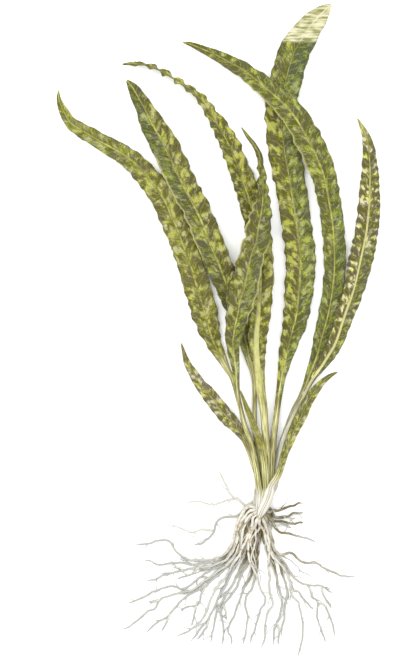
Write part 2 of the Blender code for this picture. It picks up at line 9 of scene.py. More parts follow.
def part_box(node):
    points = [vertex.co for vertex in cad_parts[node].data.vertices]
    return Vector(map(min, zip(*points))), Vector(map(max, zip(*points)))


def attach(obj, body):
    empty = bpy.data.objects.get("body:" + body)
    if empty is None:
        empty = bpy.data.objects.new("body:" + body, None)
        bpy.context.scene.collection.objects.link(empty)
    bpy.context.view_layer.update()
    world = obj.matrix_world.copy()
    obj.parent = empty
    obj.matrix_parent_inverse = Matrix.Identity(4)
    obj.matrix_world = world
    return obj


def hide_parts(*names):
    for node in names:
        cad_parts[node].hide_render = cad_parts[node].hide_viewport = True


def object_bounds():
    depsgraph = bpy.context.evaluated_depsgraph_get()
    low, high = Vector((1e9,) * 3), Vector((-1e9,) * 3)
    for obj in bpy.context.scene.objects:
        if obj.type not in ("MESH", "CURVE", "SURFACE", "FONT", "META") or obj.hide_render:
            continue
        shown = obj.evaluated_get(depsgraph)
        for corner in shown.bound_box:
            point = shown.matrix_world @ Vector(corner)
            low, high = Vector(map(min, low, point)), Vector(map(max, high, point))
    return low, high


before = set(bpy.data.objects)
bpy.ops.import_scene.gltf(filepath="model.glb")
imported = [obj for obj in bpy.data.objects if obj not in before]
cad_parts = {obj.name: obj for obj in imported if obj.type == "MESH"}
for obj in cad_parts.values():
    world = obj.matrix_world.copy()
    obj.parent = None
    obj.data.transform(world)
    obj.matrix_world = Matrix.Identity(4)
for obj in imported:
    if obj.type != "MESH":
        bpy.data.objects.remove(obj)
cadLow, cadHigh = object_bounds()
mm = 0.001
plantSeed = 5
noise.seed_set(plantSeed)  # the same plant at every run

# Where the crown's lower end is in the frame: every route below is in millimetres from there
crownLow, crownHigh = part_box("crown")
crownTop = 16.0  # mm from there to the solid's upper end
crownRight = 10.6  # mm from there to its right side
crownPlace = Vector((crownHigh.x - crownRight * mm, crownHigh.y - crownTop * mm, crownLow.z))


# Camera, floor and light

view = {
    "middle": (-8.95, -0.39, 4.0),  # what the picture's middle looks at, in mm
    "tall": 452.2,  # mm from the picture's lower to its upper edge
    "lens": 100.0,
    "sensor": 36.0,
}

lights = {
    "key": {"from": (-0.75, 0.75, 1.15), "size": 1.1, "watts": 10.6, "color": (1.0, 0.985, 0.95)},
    "fill": {"from": (1.0, -0.2, 1.3), "size": 1.6, "watts": 6.6, "color": (0.96, 0.98, 1.0)},
}

studio = {
    "sky": (0.98, 0.99, 1.0, 1),
    "skyStrength": 1.5,
    "floorHalf": 3.0,  # metres from the floor's middle to its sides
    "floorUnder": 0.0001,  # metres that the floor lies under the plant
    "floorColor": (0.96, 0.96, 0.95, 1),
    "floorRoughness": 0.85,
}


def addObject(name, data):
    made = bpy.data.objects.new(name, data)
    bpy.context.scene.collection.objects.link(made)
    return made


def newMaterial(name):
    material = bpy.data.materials.new(name)
    material.use_nodes = True
    return material, material.node_tree, material.node_tree.nodes["Principled BSDF"]


def setCamera():
    cameraData = bpy.data.cameras.new("camera")
    cameraData.lens = view["lens"]
    cameraData.sensor_width = view["sensor"]
    camera = addObject("camera", cameraData)
    x, y, z = view["middle"]
    distance = view["tall"] * view["lens"] / view["sensor"]
    camera.location = (x * mm, y * mm, (z + distance) * mm)
    bpy.context.scene.camera = camera


def setLights():
    for name, lamp in lights.items():
        data = bpy.data.lights.new(name, "AREA")
        data.size = lamp["size"]
        data.energy = lamp["watts"]
        data.color = lamp["color"]
        light = addObject(name, data)
        light.location = lamp["from"]
        light.rotation_mode = "QUATERNION"
        light.rotation_quaternion = (-Vector(lamp["from"])).to_track_quat("-Z", "Y")
    world = bpy.data.worlds.new("studio")
    world.use_nodes = True
    background = world.node_tree.nodes["Background"]
    background.inputs["Color"].default_value = studio["sky"]
    background.inputs["Strength"].default_value = studio["skyStrength"]
    bpy.context.scene.world = world
    bpy.context.scene.view_settings.view_transform = "Standard"


def layFloor():
    bm = bmesh.new()
    bmesh.ops.create_grid(bm, x_segments=1, y_segments=1, size=studio["floorHalf"])
    mesh = bpy.data.meshes.new("floor")
    bm.to_mesh(mesh)
    bm.free()
    floor = addObject("floor", mesh)
    floor.location.z = -studio["floorUnder"]
    material, _, shader = newMaterial("paleFloor")
    shader.inputs["Base Color"].default_value = studio["floorColor"]
    shader.inputs["Roughness"].default_value = studio["floorRoughness"]
    mesh.materials.append(material)


setCamera()
setLights()
layFloor()
print("camera, light and floor are set")


# Routes of the leaves, as in the solids: place, height and half width in mm, then roll in degrees, if any

leafRoutes = {
    "leaf_far_left": [
        (-2.6, 16, 4.1, 1.5), (-5, 33, 4.1, 1.4), (-9, 47, 4.3, 1.4), (-15, 68, 4.4, 1.3),
        (-20, 87, 3.6, 1.5), (-24, 95, 3, 2.2), (-28, 103, 2.6, 3.6), (-33, 113, 2.5, 5.4),
        (-37, 125, 2.5, 7.8), (-41, 140, 2.5, 9.0), (-50, 169, 2.5, 8.9), (-61, 197, 2.5, 8.6),
        (-68, 212, 2.5, 8.6), (-87, 235, 2.5, 7.2), (-111, 250, 2.4, 5.6), (-121, 256, 2.4, 5.2),
        (-130, 262, 2.4, 4.1), (-135, 270, 2.8, 3.1), (-138, 277, 3.4, 1.8), (-138.5, 284, 4, 0.5),
    ],
    "leaf_left": [
        (2.2, 16, 2.4, 1.5), (-1.6, 34, 3.2, 1.4), (-4, 46, 2.6, 1.4), (-5, 62, 1.6, 1.4),
        (-5, 82, 1.7, 1.6), (-6, 92, 2, 2.1), (-9, 104, 2.4, 3.4), (-12, 118, 2.5, 5.4),
        (-16, 131, 3.8, 6.8), (-26, 157, 6.6, 8.6), (-35, 179, 7.7, 9.3), (-45, 203, 7.7, 9.3),
        (-56, 224, 6.6, 9.6), (-67, 248, 4.2, 9.3), (-73, 258, 3.2, 8.5), (-79, 270, 2.6, 6.4),
        (-84, 279, 2.5, 5), (-88, 286, 2.5, 3.5), (-92, 291, 2.5, 0.8),
    ],
    "leaf_back": [
        (2.8, 16, 6.6, 1.6), (3, 39, 6.7, 1.9), (2, 53, 7, 2.2), (1, 67, 7.2, 2.7), (-1, 80, 7.6, 3.2),
        (-2, 94, 8, 3.8), (-3, 106, 8.5, 5.1), (-3, 118, 8.7, 6.5), (-2, 131, 8.7, 7.5),
        (-1, 158, 8.4, 8.5), (-2, 182, 7.4, 8.2), (-8, 208, 5.4, 8.2, 10), (-16, 231, 3.6, 7.8, 20),
        (-24, 250, 3.4, 7.6, 30), (-33, 265, 4, 6.6, 42), (-43, 279, 4.8, 5.8, 55), (-56, 289, 5, 5, 65),
        (-69, 297, 4.6, 4.4, 65), (-78, 301, 3.8, 3.4, 60), (-87, 302, 3, 2.4, 50),
        (-95, 302, 2.2, 0.6, 30),
    ],
    "leaf_front": [
        (-2.4, 16, 6.6, 1.5), (-5, 33, 6.8, 1.5), (-8, 46, 7, 1.5), (-12, 57, 7.4, 1.6), (-15, 69, 8, 1.6),
        (-17, 80, 9.2, 1.8), (-18, 94, 11.4, 2.6), (-19, 102, 12.8, 3.6), (-20, 111, 13.8, 4.6),
        (-19, 121, 14.2, 6.5), (-17, 131, 14.3, 7.8), (-15, 141, 14.3, 9.4), (-12, 151, 14.3, 9.8),
        (-8, 170, 14.1, 8.9), (-4, 181, 13.8, 8.6), (-3, 190, 13.4, 8.6, 12), (-1, 200, 12.8, 8, 30),
        (0, 209, 12, 6.8, 45), (0, 220, 10.4, 5.2, 52), (-1, 230, 8.4, 4, 50), (-2, 239, 6.4, 2.8, 45),
        (-5, 246, 4.8, 2, 30), (-10, 253, 3.4, 1.2), (-14, 259, 2.6, 0.5),
    ],
    "leaf_tall": [
        (5.8, 16, 4.1, 1.4), (7, 39, 4.1, 1.8), (10, 65, 3.8, 2), (13, 87, 3.2, 2.7), (15, 97, 2.8, 4.2),
        (17, 107, 2.6, 5.6), (20, 118, 2.6, 6.8), (23, 130, 2.6, 8.6), (25, 146, 2.6, 9.5),
        (26, 170, 2.6, 10.4), (23, 196, 2.6, 10.3), (19, 222, 2.6, 10.4), (15, 245, 2.6, 10.9),
        (13, 269, 2.6, 10.9), (16, 290, 2.6, 10.8), (22, 310, 2.6, 10.6), (27, 319, 2.6, 9.5),
        (33, 328, 2.6, 8.4), (41, 337, 2.6, 5.4), (47, 342.5, 2.8, 0.8),
    ],
    "leaf_arched": [
        (5.6, 16, 1.6, 1.5), (10.6, 34, 1.6, 1.5), (14, 46, 1.6, 1.5), (21, 66, 1.6, 1.5),
        (26, 75, 1.6, 1.7), (30, 84, 1.8, 2.2), (33, 92, 2.1, 3.1), (37, 102, 2.5, 4.2),
        (40, 113, 2.5, 5.6), (46, 136, 2.5, 6.8), (49, 158, 2.5, 7.2), (49, 182, 2.5, 7.8),
        (46, 206, 4, 7.8), (41, 228, 7, 8.6), (31, 250, 8.8, 9.2), (20, 268, 9, 8.2), (5, 283, 8.4, 7),
        (-12, 297, 5, 5.6), (-22, 303, 3.4, 4.8), (-31, 308, 2.6, 3.7), (-47, 315, 2.4, 1.8),
        (-54, 317, 2.4, 0.5),
    ],
    "leaf_right": [
        (9, 16, 4.1, 1.4), (12, 34, 4.2, 1.5), (14, 46, 4.4, 1.5), (22, 65, 4.7, 1.5), (27, 74, 5, 1.6),
        (31, 82, 5.4, 1.6), (35, 89, 6, 2), (40, 96, 6.8, 3), (45, 104, 7.3, 4.4), (50, 113, 7.5, 5),
        (56, 131, 7.4, 6.2), (62, 148, 6.6, 7), (67, 169, 5, 8.2), (71, 188, 3.4, 7.9), (73, 208, 2.6, 7.4),
        (73.5, 228, 2.5, 5.8), (73, 239, 2.5, 4.8), (72, 248, 2.5, 3.7), (70, 255, 2.6, 2.4),
        (65, 265, 3, 0.5),
    ],
    "leaf_small_left": [
        (-1.1, 16, 1.6, 1.5), (-5.4, 29, 1.6, 1.4), (-8.4, 38, 1.4, 1.4), (-11, 45, 1.3, 2),
        (-14.5, 51, 1.4, 3.2), (-18.5, 56, 1.6, 4.4), (-26, 64, 1.9, 5.2), (-36, 77, 1.9, 4.8),
        (-42, 84, 1.9, 3.9), (-47, 92, 1.9, 3.1), (-51, 99, 2, 2.2), (-55, 112, 2.4, 0.5),
    ],
    "leaf_small_right": [
        (6.2, 16, 9.2, 1.5), (11, 24, 9.2, 2), (16, 40, 9.3, 2.8), (23, 56, 9.5, 3.7), (27, 64, 9.6, 3.9),
        (30, 71, 9.5, 3.6), (35, 79, 9.2, 3.1), (40, 85, 8.8, 2.4), (46, 90, 8.2, 1.5),
        (51, 92.5, 7.6, 0.5),
    ],
    "leaf_young": [
        (2.4, 16, 9.2, 1.4), (1.4, 29, 9.2, 1.8), (0, 39, 9.4, 2.2), (-2, 47, 9.8, 2.4),
        (-5, 54, 10.2, 2.4), (-7.4, 61, 10.7, 2.2), (-10.4, 68, 11.3, 1.8), (-15, 80, 12.4, 0.5),
    ],
}


def alongRoute(rows, spacing):
    # even stations on a smooth curve through the rows, with the way gone at each, in mm; what a row leaves
    # out is 0
    knots = [Vector((*row, *[0] * (5 - len(row)))) for row in rows]
    knots = [knots[0] * 2 - knots[1], *knots, knots[-1] * 2 - knots[-2]]
    fine = []
    parts = 16
    for before, start, end, after in zip(knots, knots[1:], knots[2:], knots[3:]):
        for part in range(parts):
            t = part / parts
            fine.append(0.5 * (
                2 * start + (end - before) * t
                + (2 * before - 5 * start + 4 * end - after) * t ** 2
                + (3 * start - before - 3 * end + after) * t ** 3
            ))
    fine.append(knots[-2])
    gone = [0.0]
    for start, end in zip(fine, fine[1:]):
        gone.append(gone[-1] + math.dist(start[:3], end[:3]))
    count = max(round(gone[-1] / spacing), 4)
    stations = []
    piece = 0
    for number in range(count + 1):
        distance = gone[-1] * number / count
        while piece < len(fine) - 2 and gone[piece + 1] < distance:
            piece += 1
        share = (distance - gone[piece]) / (gone[piece + 1] - gone[piece])
        stations.append((fine[piece].lerp(fine[piece + 1], share), distance))
    return stations


def fade(value, start, end):
    # 0 at start, 1 at end, smooth between, whichever is the larger
    t = min(max((value - start) / (end - start), 0.0), 1.0)
    return t * t * (3 - 2 * t)


def wobble(x, y, z):
    # smooth noise between about -1 and 1
    return noise.noise(Vector((x, y, z)))


def keepInside(point):
    # a point of the plant stays inside the solids' box, just over the floor
    clearance = 0.05 * mm
    return Vector((
        min(max(point.x, cadLow.x), cadHigh.x),
        min(max(point.y, cadLow.y), cadHigh.y),
        min(max(point.z, cadLow.z + clearance), cadHigh.z),
    ))


def closeEnds(bm):
    # merges what meets and fills the open ends
    bmesh.ops.remove_doubles(bm, verts=bm.verts, dist=0.001 * mm)
    bmesh.ops.holes_fill(bm, edges=[edge for edge in bm.edges if edge.is_boundary], sides=0)


def placePiece(bm, material, node):
    # the finished piece takes its solid's place
    bmesh.ops.recalc_face_normals(bm, faces=bm.faces)
    for face in bm.faces:
        face.smooth = True
    mesh = bpy.data.meshes.new(f"{node}_grown")
    bm.to_mesh(mesh)
    bm.free()
    mesh.materials.append(material)
    piece = addObject(f"{node}_grown", mesh)
    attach(piece, "root")
    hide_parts(node)


# Materials: what the leaves share is in node groups

def newGroup(name, inputs, outputs):
    # inputs and outputs give the kind of each named socket
    group = bpy.data.node_groups.new(name, "ShaderNodeTree")
    for way, sockets in (("INPUT", inputs), ("OUTPUT", outputs)):
        for label, kind in sockets.items():
            group.interface.new_socket(name=label, in_out=way, socket_type=f"NodeSocket{kind}")
    return group, group.nodes.new("NodeGroupInput"), group.nodes.new("NodeGroupOutput")


def addNode(tree, kind, **settings):
    node = tree.nodes.new(kind)
    for setting, value in settings.items():
        setattr(node, setting, value)
    return node


def feed(tree, socket, value):
    # value is another node's socket or a plain value
    if isinstance(value, bpy.types.NodeSocket):
        tree.links.new(value, socket)
    else:
        socket.default_value = value


def mixColor(tree, factor, first, second, blend="MIX"):
    node = addNode(tree, "ShaderNodeMix", data_type="RGBA", blend_type=blend)
    for socket, value in ((node.inputs[0], factor), (node.inputs[6], first), (node.inputs[7], second)):
        feed(tree, socket, value)
    return node.outputs[2]


def doMath(tree, operation, first, second=0.0, clamp=False):
    node = addNode(tree, "ShaderNodeMath", operation=operation, use_clamp=clamp)
    for socket, value in zip(node.inputs, (first, second)):
        feed(tree, socket, value)
    return node.outputs[0]


def plus(tree, first, second):
    return doMath(tree, "ADD", first, second)


def minus(tree, first, second, clamp=False):
    return doMath(tree, "SUBTRACT", first, second, clamp)


def times(tree, first, second, clamp=False):
    return doMath(tree, "MULTIPLY", first, second, clamp)


def swing(tree, value, amount):
    # noise that swings about 0 instead of 0.5, times an amount
    return times(tree, minus(tree, value, 0.5), amount)


def addNoise(tree, place, scale, detail=2.0, roughness=0.5):
    node = addNode(tree, "ShaderNodeTexNoise")
    for label, value in (("Vector", place), ("Scale", scale), ("Detail", detail), ("Roughness", roughness)):
        feed(tree, node.inputs[label], value)
    return node.outputs["Fac"]


def stretch(tree, place, scale):
    node = addNode(tree, "ShaderNodeMapping")
    node.inputs["Scale"].default_value = scale
    tree.links.new(place, node.inputs["Vector"])
    return node.outputs["Vector"]


def ramp(tree, factor, stops):
    node = addNode(tree, "ShaderNodeValToRGB")
    elements = node.color_ramp.elements
    while len(elements) < len(stops):
        elements.new(0.5)
    for element, (place, color) in zip(elements, stops):
        element.position = place
        element.color = color
    tree.links.new(factor, node.inputs[0])
    return node.outputs[0]


def step(tree, value, zero, one):
    # 0 where the value is at zero, 1 where it is at one, smooth between
    node = addNode(tree, "ShaderNodeMapRange", interpolation_type="SMOOTHSTEP")
    tree.links.new(value, node.inputs["Value"])
    node.inputs["From Min"].default_value = zero
    node.inputs["From Max"].default_value = one
    return node.outputs["Result"]


def addBump(tree, height, strength, distance):
    bump = addNode(tree, "ShaderNodeBump")
    bump.inputs["Strength"].default_value = strength
    bump.inputs["Distance"].default_value = distance
    tree.links.new(height, bump.inputs["Height"])
    tree.links.new(bump.outputs["Normal"], tree.nodes["Principled BSDF"].inputs["Normal"])


def readAttribute(tree, name):
    # the four values kept in one attribute of the mesh
    attribute = addNode(tree, "ShaderNodeAttribute", attribute_name=name)
    values = addNode(tree, "ShaderNodeSeparateColor")
    tree.links.new(attribute.outputs["Color"], values.inputs["Color"])
    return [*values.outputs, attribute.outputs["Alpha"]]


brightness = 1.4  # how much brighter the lights are than ones under which white would just be white


def linear(red, green, blue):
    # a colour as seen on a screen under these lights, 0 to 255, in the renderer's own values
    return (*(
        (value / 12.92 if value <= 0.04045 else ((value + 0.055) / 1.055) ** 2.4) / brightness
        for value in (red / 255, green / 255, blue / 255)
    ), 1)


leafColors = {
    # deepGreen, green and freshGreen paint the shade on a blade's greener halves
    "deepGreen": linear(78, 87, 52),
    "green": linear(108, 119, 56),
    "freshGreen": linear(146, 153, 86),
    "under": linear(150, 152, 82),
    "rib": linear(190, 190, 90),
    "ribShade": linear(148, 150, 62),
    "nerve": linear(168, 168, 84),
    "paleRib": linear(216, 211, 146),
    "stalk": linear(238, 234, 172),
    "stalkShade": linear(140, 131, 74),
    # the next colour is painted shade on the stalks' rounded edges
    "stalkFlankShade": linear(106, 98, 52),
    "cream": linear(242, 240, 230),
    "creamShade": linear(184, 176, 150),
    "bleached": linear(224, 220, 186),
    "faded": linear(188, 186, 138),
    "fadedShade": linear(140, 139, 86),
}

# The skin of the leaves. Patterns are scale, detail and roughness of a noise, 1 unit being 10 mm of leaf
leafSkin = {
    "grain": (16.0, 5.0, 0.65),
    "strokes": (5.0, 3.0, 0.6),
    "drift": (2.1, 3.0, 0.5),  # the slow change between a yellower and a greyer hue
    "nerveBend": (2.4, 2.0, 0.5),
    "nerves": (1.9, 1.7),  # side nerves a unit along the leaf, and how much they lean towards the tip
    "net": 5.0,  # scale of the small veins
    "vein": 0.1,  # how much painted shade darkens the skin: in the sunken small veins, beside the side nerves and in the creases between pillows
    "nerveShade": 0.14,
    "creaseShade": 0.2,
    "dark": (0.44, 0.36),  # tones between which the skin turns dark, and bright
    "bright": (0.6, 0.7),
    "yellower": (0.98, 1.01, 0.64, 1),
    "greyer": (1.03, 0.99, 1.66, 1),
    "stalkStretch": (0.7, 27.0, 1.0),
    "stalkStreaks": (1.0, 4.0),
    "hatchStretch": (110.0, 620.0, 1.0),  # the bleached end, in metres
    "hatch": (1.0, 3.0),
    "bump": (0.4, 0.0003),
    "specular": 0.12,
    "coat": 0.03,
    "coatRoughness": 0.3,
}


def makeMarbleGroup():
    # the blade's skin: dark lobes, olive ground and bright patches with crisp edges, under grain and veins,
    # with painted shade in the veins, beside the nerves, in the creases and on greener halves
    group, start, end = newGroup(
        "leafMarbleAndShade",
        {
            "Tone": "Float", "CreaseShade": "Float", "Green": "Float",
            "Dark": "Color", "Ground": "Color", "Bright": "Color", "Vector": "Vector",
        },
        {"Color": "Color", "Height": "Float", "Roughness": "Float"},
    )
    link = group.links.new
    place = start.outputs["Vector"]
    grain = addNoise(group, place, *leafSkin["grain"])
    # side nerves: thin lines that run out from the midrib and towards the tip, and strokes along them
    apart = addNode(group, "ShaderNodeSeparateXYZ")
    link(place, apart.inputs["Vector"])
    along = apart.outputs["X"]
    out = doMath(group, "ABSOLUTE", apart.outputs["Y"])
    bend = swing(group, addNoise(group, place, *leafSkin["nerveBend"]), 1.5)
    often, lean = leafSkin["nerves"]
    nerve = plus(group, minus(group, times(group, along, often), times(group, out, lean)), bend)
    line = step(group, doMath(group, "PINGPONG", nerve, 0.5), 0.1, 0.03)
    # painted shade along one side of each side nerve
    nerveShade = step(group, doMath(group, "PINGPONG", plus(group, nerve, 0.16), 0.5), 0.12, 0.02)
    combed = addNode(group, "ShaderNodeCombineXYZ")
    link(nerve, combed.inputs["X"])
    link(times(group, out, 0.5), combed.inputs["Y"])
    link(times(group, along, 0.15), combed.inputs["Z"])
    stroke = addNoise(group, combed.outputs["Vector"], *leafSkin["strokes"])
    # the net of small veins inside the pillows, sunk by the bump and darkened as painted shade
    net = addNode(group, "ShaderNodeTexVoronoi", feature="DISTANCE_TO_EDGE")
    net.inputs["Scale"].default_value = leafSkin["net"]
    link(place, net.inputs["Vector"])
    vein = minus(group, 1.0, times(group, net.outputs["Distance"], 9.0), clamp=True)
    # how bright each place is, and from that its dark, olive or bright colour
    uneven = plus(group, swing(group, stroke, 0.85), swing(group, grain, 0.7))
    fresh = plus(group, start.outputs["Tone"], uneven)
    # painted shade: the sunken small veins, one side of each side nerve and the creases darken the tone
    fresh = minus(group, fresh, times(group, vein, leafSkin["vein"]))
    fresh = minus(group, fresh, times(group, nerveShade, leafSkin["nerveShade"]))
    fresh = minus(group, fresh, times(group, start.outputs["CreaseShade"], leafSkin["creaseShade"]), clamp=True)
    dark = step(group, fresh, *leafSkin["dark"])
    bright = step(group, fresh, *leafSkin["bright"])
    color = mixColor(group, dark, start.outputs["Ground"], start.outputs["Dark"])
    color = mixColor(group, bright, color, start.outputs["Bright"])
    # a blade's greener half is painted shade of a half turned from the light
    greens = mixColor(group, dark, leafColors["green"], leafColors["deepGreen"])
    greens = mixColor(group, bright, greens, leafColors["freshGreen"])
    greenMask = plus(group, start.outputs["Green"], swing(group, stroke, 0.6))
    color = mixColor(group, times(group, greenMask, 1.2, clamp=True), color, greens)
    color = mixColor(group, times(group, line, 0.4), color, leafColors["nerve"])
    # slow changes of hue, and flecks of light and shade
    drift = step(group, addNoise(group, place, *leafSkin["drift"]), 0.38, 0.62)
    cast = mixColor(group, drift, leafSkin["yellower"], leafSkin["greyer"])
    color = mixColor(group, 1.0, color, cast, "MULTIPLY")
    fleck = plus(group, times(group, grain, 1.5), 0.25)
    fleck = times(group, fleck, plus(group, times(group, stroke, 1.0), 0.5))
    shaded = addNode(group, "ShaderNodeVectorMath", operation="SCALE")
    link(color, shaded.inputs["Vector"])
    link(fleck, shaded.inputs["Scale"])
    link(shaded.outputs["Vector"], end.inputs["Color"])
    link(minus(group, grain, times(group, vein, 0.5)), end.inputs["Height"])
    link(plus(group, times(group, grain, 0.3), 0.36), end.inputs["Roughness"])
    return group


def makeStalkGroup():
    # lengthwise streaks of stalk and sheath, from yellow green to cream, and the midrib's finer ones
    group, start, end = newGroup(
        "leafStalk",
        {"Cream": "Float", "Rib": "Float", "Vector": "Vector"},
        {"Color": "Color"},
    )
    drawn = stretch(group, start.outputs["Vector"], leafSkin["stalkStretch"])
    streak = addNoise(group, drawn, *leafSkin["stalkStreaks"])
    mask = step(group, streak, 0.45, 0.57)
    color = mixColor(group, mask, leafColors["stalk"], leafColors["stalkShade"])
    rib = mixColor(group, mask, leafColors["rib"], leafColors["ribShade"])
    color = mixColor(group, start.outputs["Rib"], color, rib)
    cream = mixColor(group, times(group, mask, 0.5), leafColors["cream"], leafColors["creamShade"])
    color = mixColor(group, start.outputs["Cream"], color, cream)
    group.links.new(color, end.inputs["Color"])
    return group


marbleGroup = makeMarbleGroup()
stalkGroup = makeStalkGroup()


def makeLeafMaterial(name, habit):
    material, tree, shader = newMaterial(name)
    link = tree.links.new
    uv = addNode(tree, "ShaderNodeUVMap", uv_map="grown").outputs["UV"]
    tone, creaseShade, green, under = readAttribute(tree, "cells")
    stem, rib, cream, pale = readAttribute(tree, "parts")
    marble = addNode(tree, "ShaderNodeGroup", node_tree=marbleGroup)
    dark, ground, bright = (linear(*color) for color in habit["colors"])
    for label, value in (
        ("Dark", dark), ("Ground", ground), ("Bright", bright),
        ("Tone", tone), ("CreaseShade", creaseShade), ("Green", green), ("Vector", uv),
    ):
        feed(tree, marble.inputs[label], value)
    stalk = addNode(tree, "ShaderNodeGroup", node_tree=stalkGroup)
    for label, value in (("Cream", cream), ("Rib", rib), ("Vector", uv)):
        feed(tree, stalk.inputs[label], value)
    # the underside is paler, midrib and stalk share one group, and what is bleached goes over all
    color = mixColor(tree, times(tree, under, 0.5), marble.outputs["Color"], leafColors["under"])
    # painted shade: creases, the groove beside the midrib and the stalks' rounded edges darken the stalk's
    # colour
    edge = times(tree, creaseShade, 0.85)
    stalkColor = mixColor(tree, edge, stalk.outputs["Color"], leafColors["stalkFlankShade"])
    color = mixColor(tree, stem, color, stalkColor)
    bleached = leafColors["paleRib"]
    if "bleach" in habit:
        place = addNode(tree, "ShaderNodeTexCoord").outputs["Object"]
        hatch = addNoise(tree, stretch(tree, place, leafSkin["hatchStretch"]), *leafSkin["hatch"])
        bleached = ramp(tree, hatch, [
            (0.4, leafColors["bleached"]), (0.5, leafColors["faded"]), (0.6, leafColors["fadedShade"]),
        ])
        bleached = mixColor(tree, rib, bleached, leafColors["bleached"])
    link(mixColor(tree, pale, color, bleached), shader.inputs["Base Color"])
    link(marble.outputs["Roughness"], shader.inputs["Roughness"])
    addBump(tree, marble.outputs["Height"], *leafSkin["bump"])
    shader.inputs["Specular IOR Level"].default_value = leafSkin["specular"]
    shader.inputs["Coat Weight"].default_value = leafSkin["coat"]
    shader.inputs["Coat Roughness"].default_value = leafSkin["coatRoughness"]
    return material


# Leaves: a closed sheet whose section goes from a sheath and a round stalk to a thin, quilted, crisped blade

leafBuild = {
    "spacing": 0.72,  # mm between stations
    "columns": 26,  # strips across one face
    "crowd": 1.2,  # how much the strips draw together towards the midrib
    "edgeHalf": 0.22,  # half the blade's thickness in mm
    "stalkHalf": 1.1,  # half the stalk's thickness in mm
    "channel": 0.3,  # mm deep, along a stalk's upper side
    "ribOver": 0.3,  # mm that the midrib stands over the blade, and under it
    "ribUnder": 0.5,
    "ribGroove": 0.2,  # mm deep, beside the midrib
    "bladeFrom": (17, 24),  # mm along +Y before which no leaf is blade
    "swollen": 0.4,  # how much broader stalks are low down, as a share
    "slant": 0.4,  # mm that the pillows lie back for each mm out from the midrib
    "ragged": (0.075, 0.08, 0.05),  # shares of the half width: with the waves, slow and fine
    "secondWave": 0.3,  # what the waves between the waves have of their height
    "unevenPillows": 0.35,
    "unevenWaves": 0.7,
}

# How much each thing changes the skin, whose tone goes from dark at 0 to bright at 1
leafTones = {
    "middle": 0.5,
    # band is painted light and shade that follows the margin's waves
    "band": 0.27,
    "blotch": 0.72,
    # pillow is a painted highlight on the pillows' crowns, with painted shade between them
    "pillow": 0.08,
    "slow": 0.22,
    "margin": 0.2,
    "turnedDown": 0.3,  # painted shade where the margin dips
    "smoothCalm": 0.7,
    # smoothGreen is painted shade on the smooth stretches
    "smoothGreen": 0.2,
    "flecks": 0.75,  # pale flecks on the margin, and how pale a pale tip and a pale midrib are
    "paleTip": 0.3,
    "paleRib": 0.7,
}

# What most leaves share. All places are mm along +Y from the crown's lower end
usualHabit = {
    "fold": 0.12,  # mm that a half rises for each mm out
    "bladeAt": (2, 4.6),  # half widths in mm between which stalk turns into blade
    "ribFall": 1.3,  # how fast the midrib thins
    "ribRight": 1.0,  # the midrib's share of its half width on the right half
    "cell": (5.2, 4.0),  # mm along and across of one pillow
    "tip": 0.2,  # how much darker the tip is
    "cream": (6, 18),  # where the sheath's cream turns green
    "smooth": (),  # stretches, after the half (0 or 1) that they belong to, that are smooth and greener, the greener tint being painted shade
    "paleEdges": (),  # the same for pale margins
}
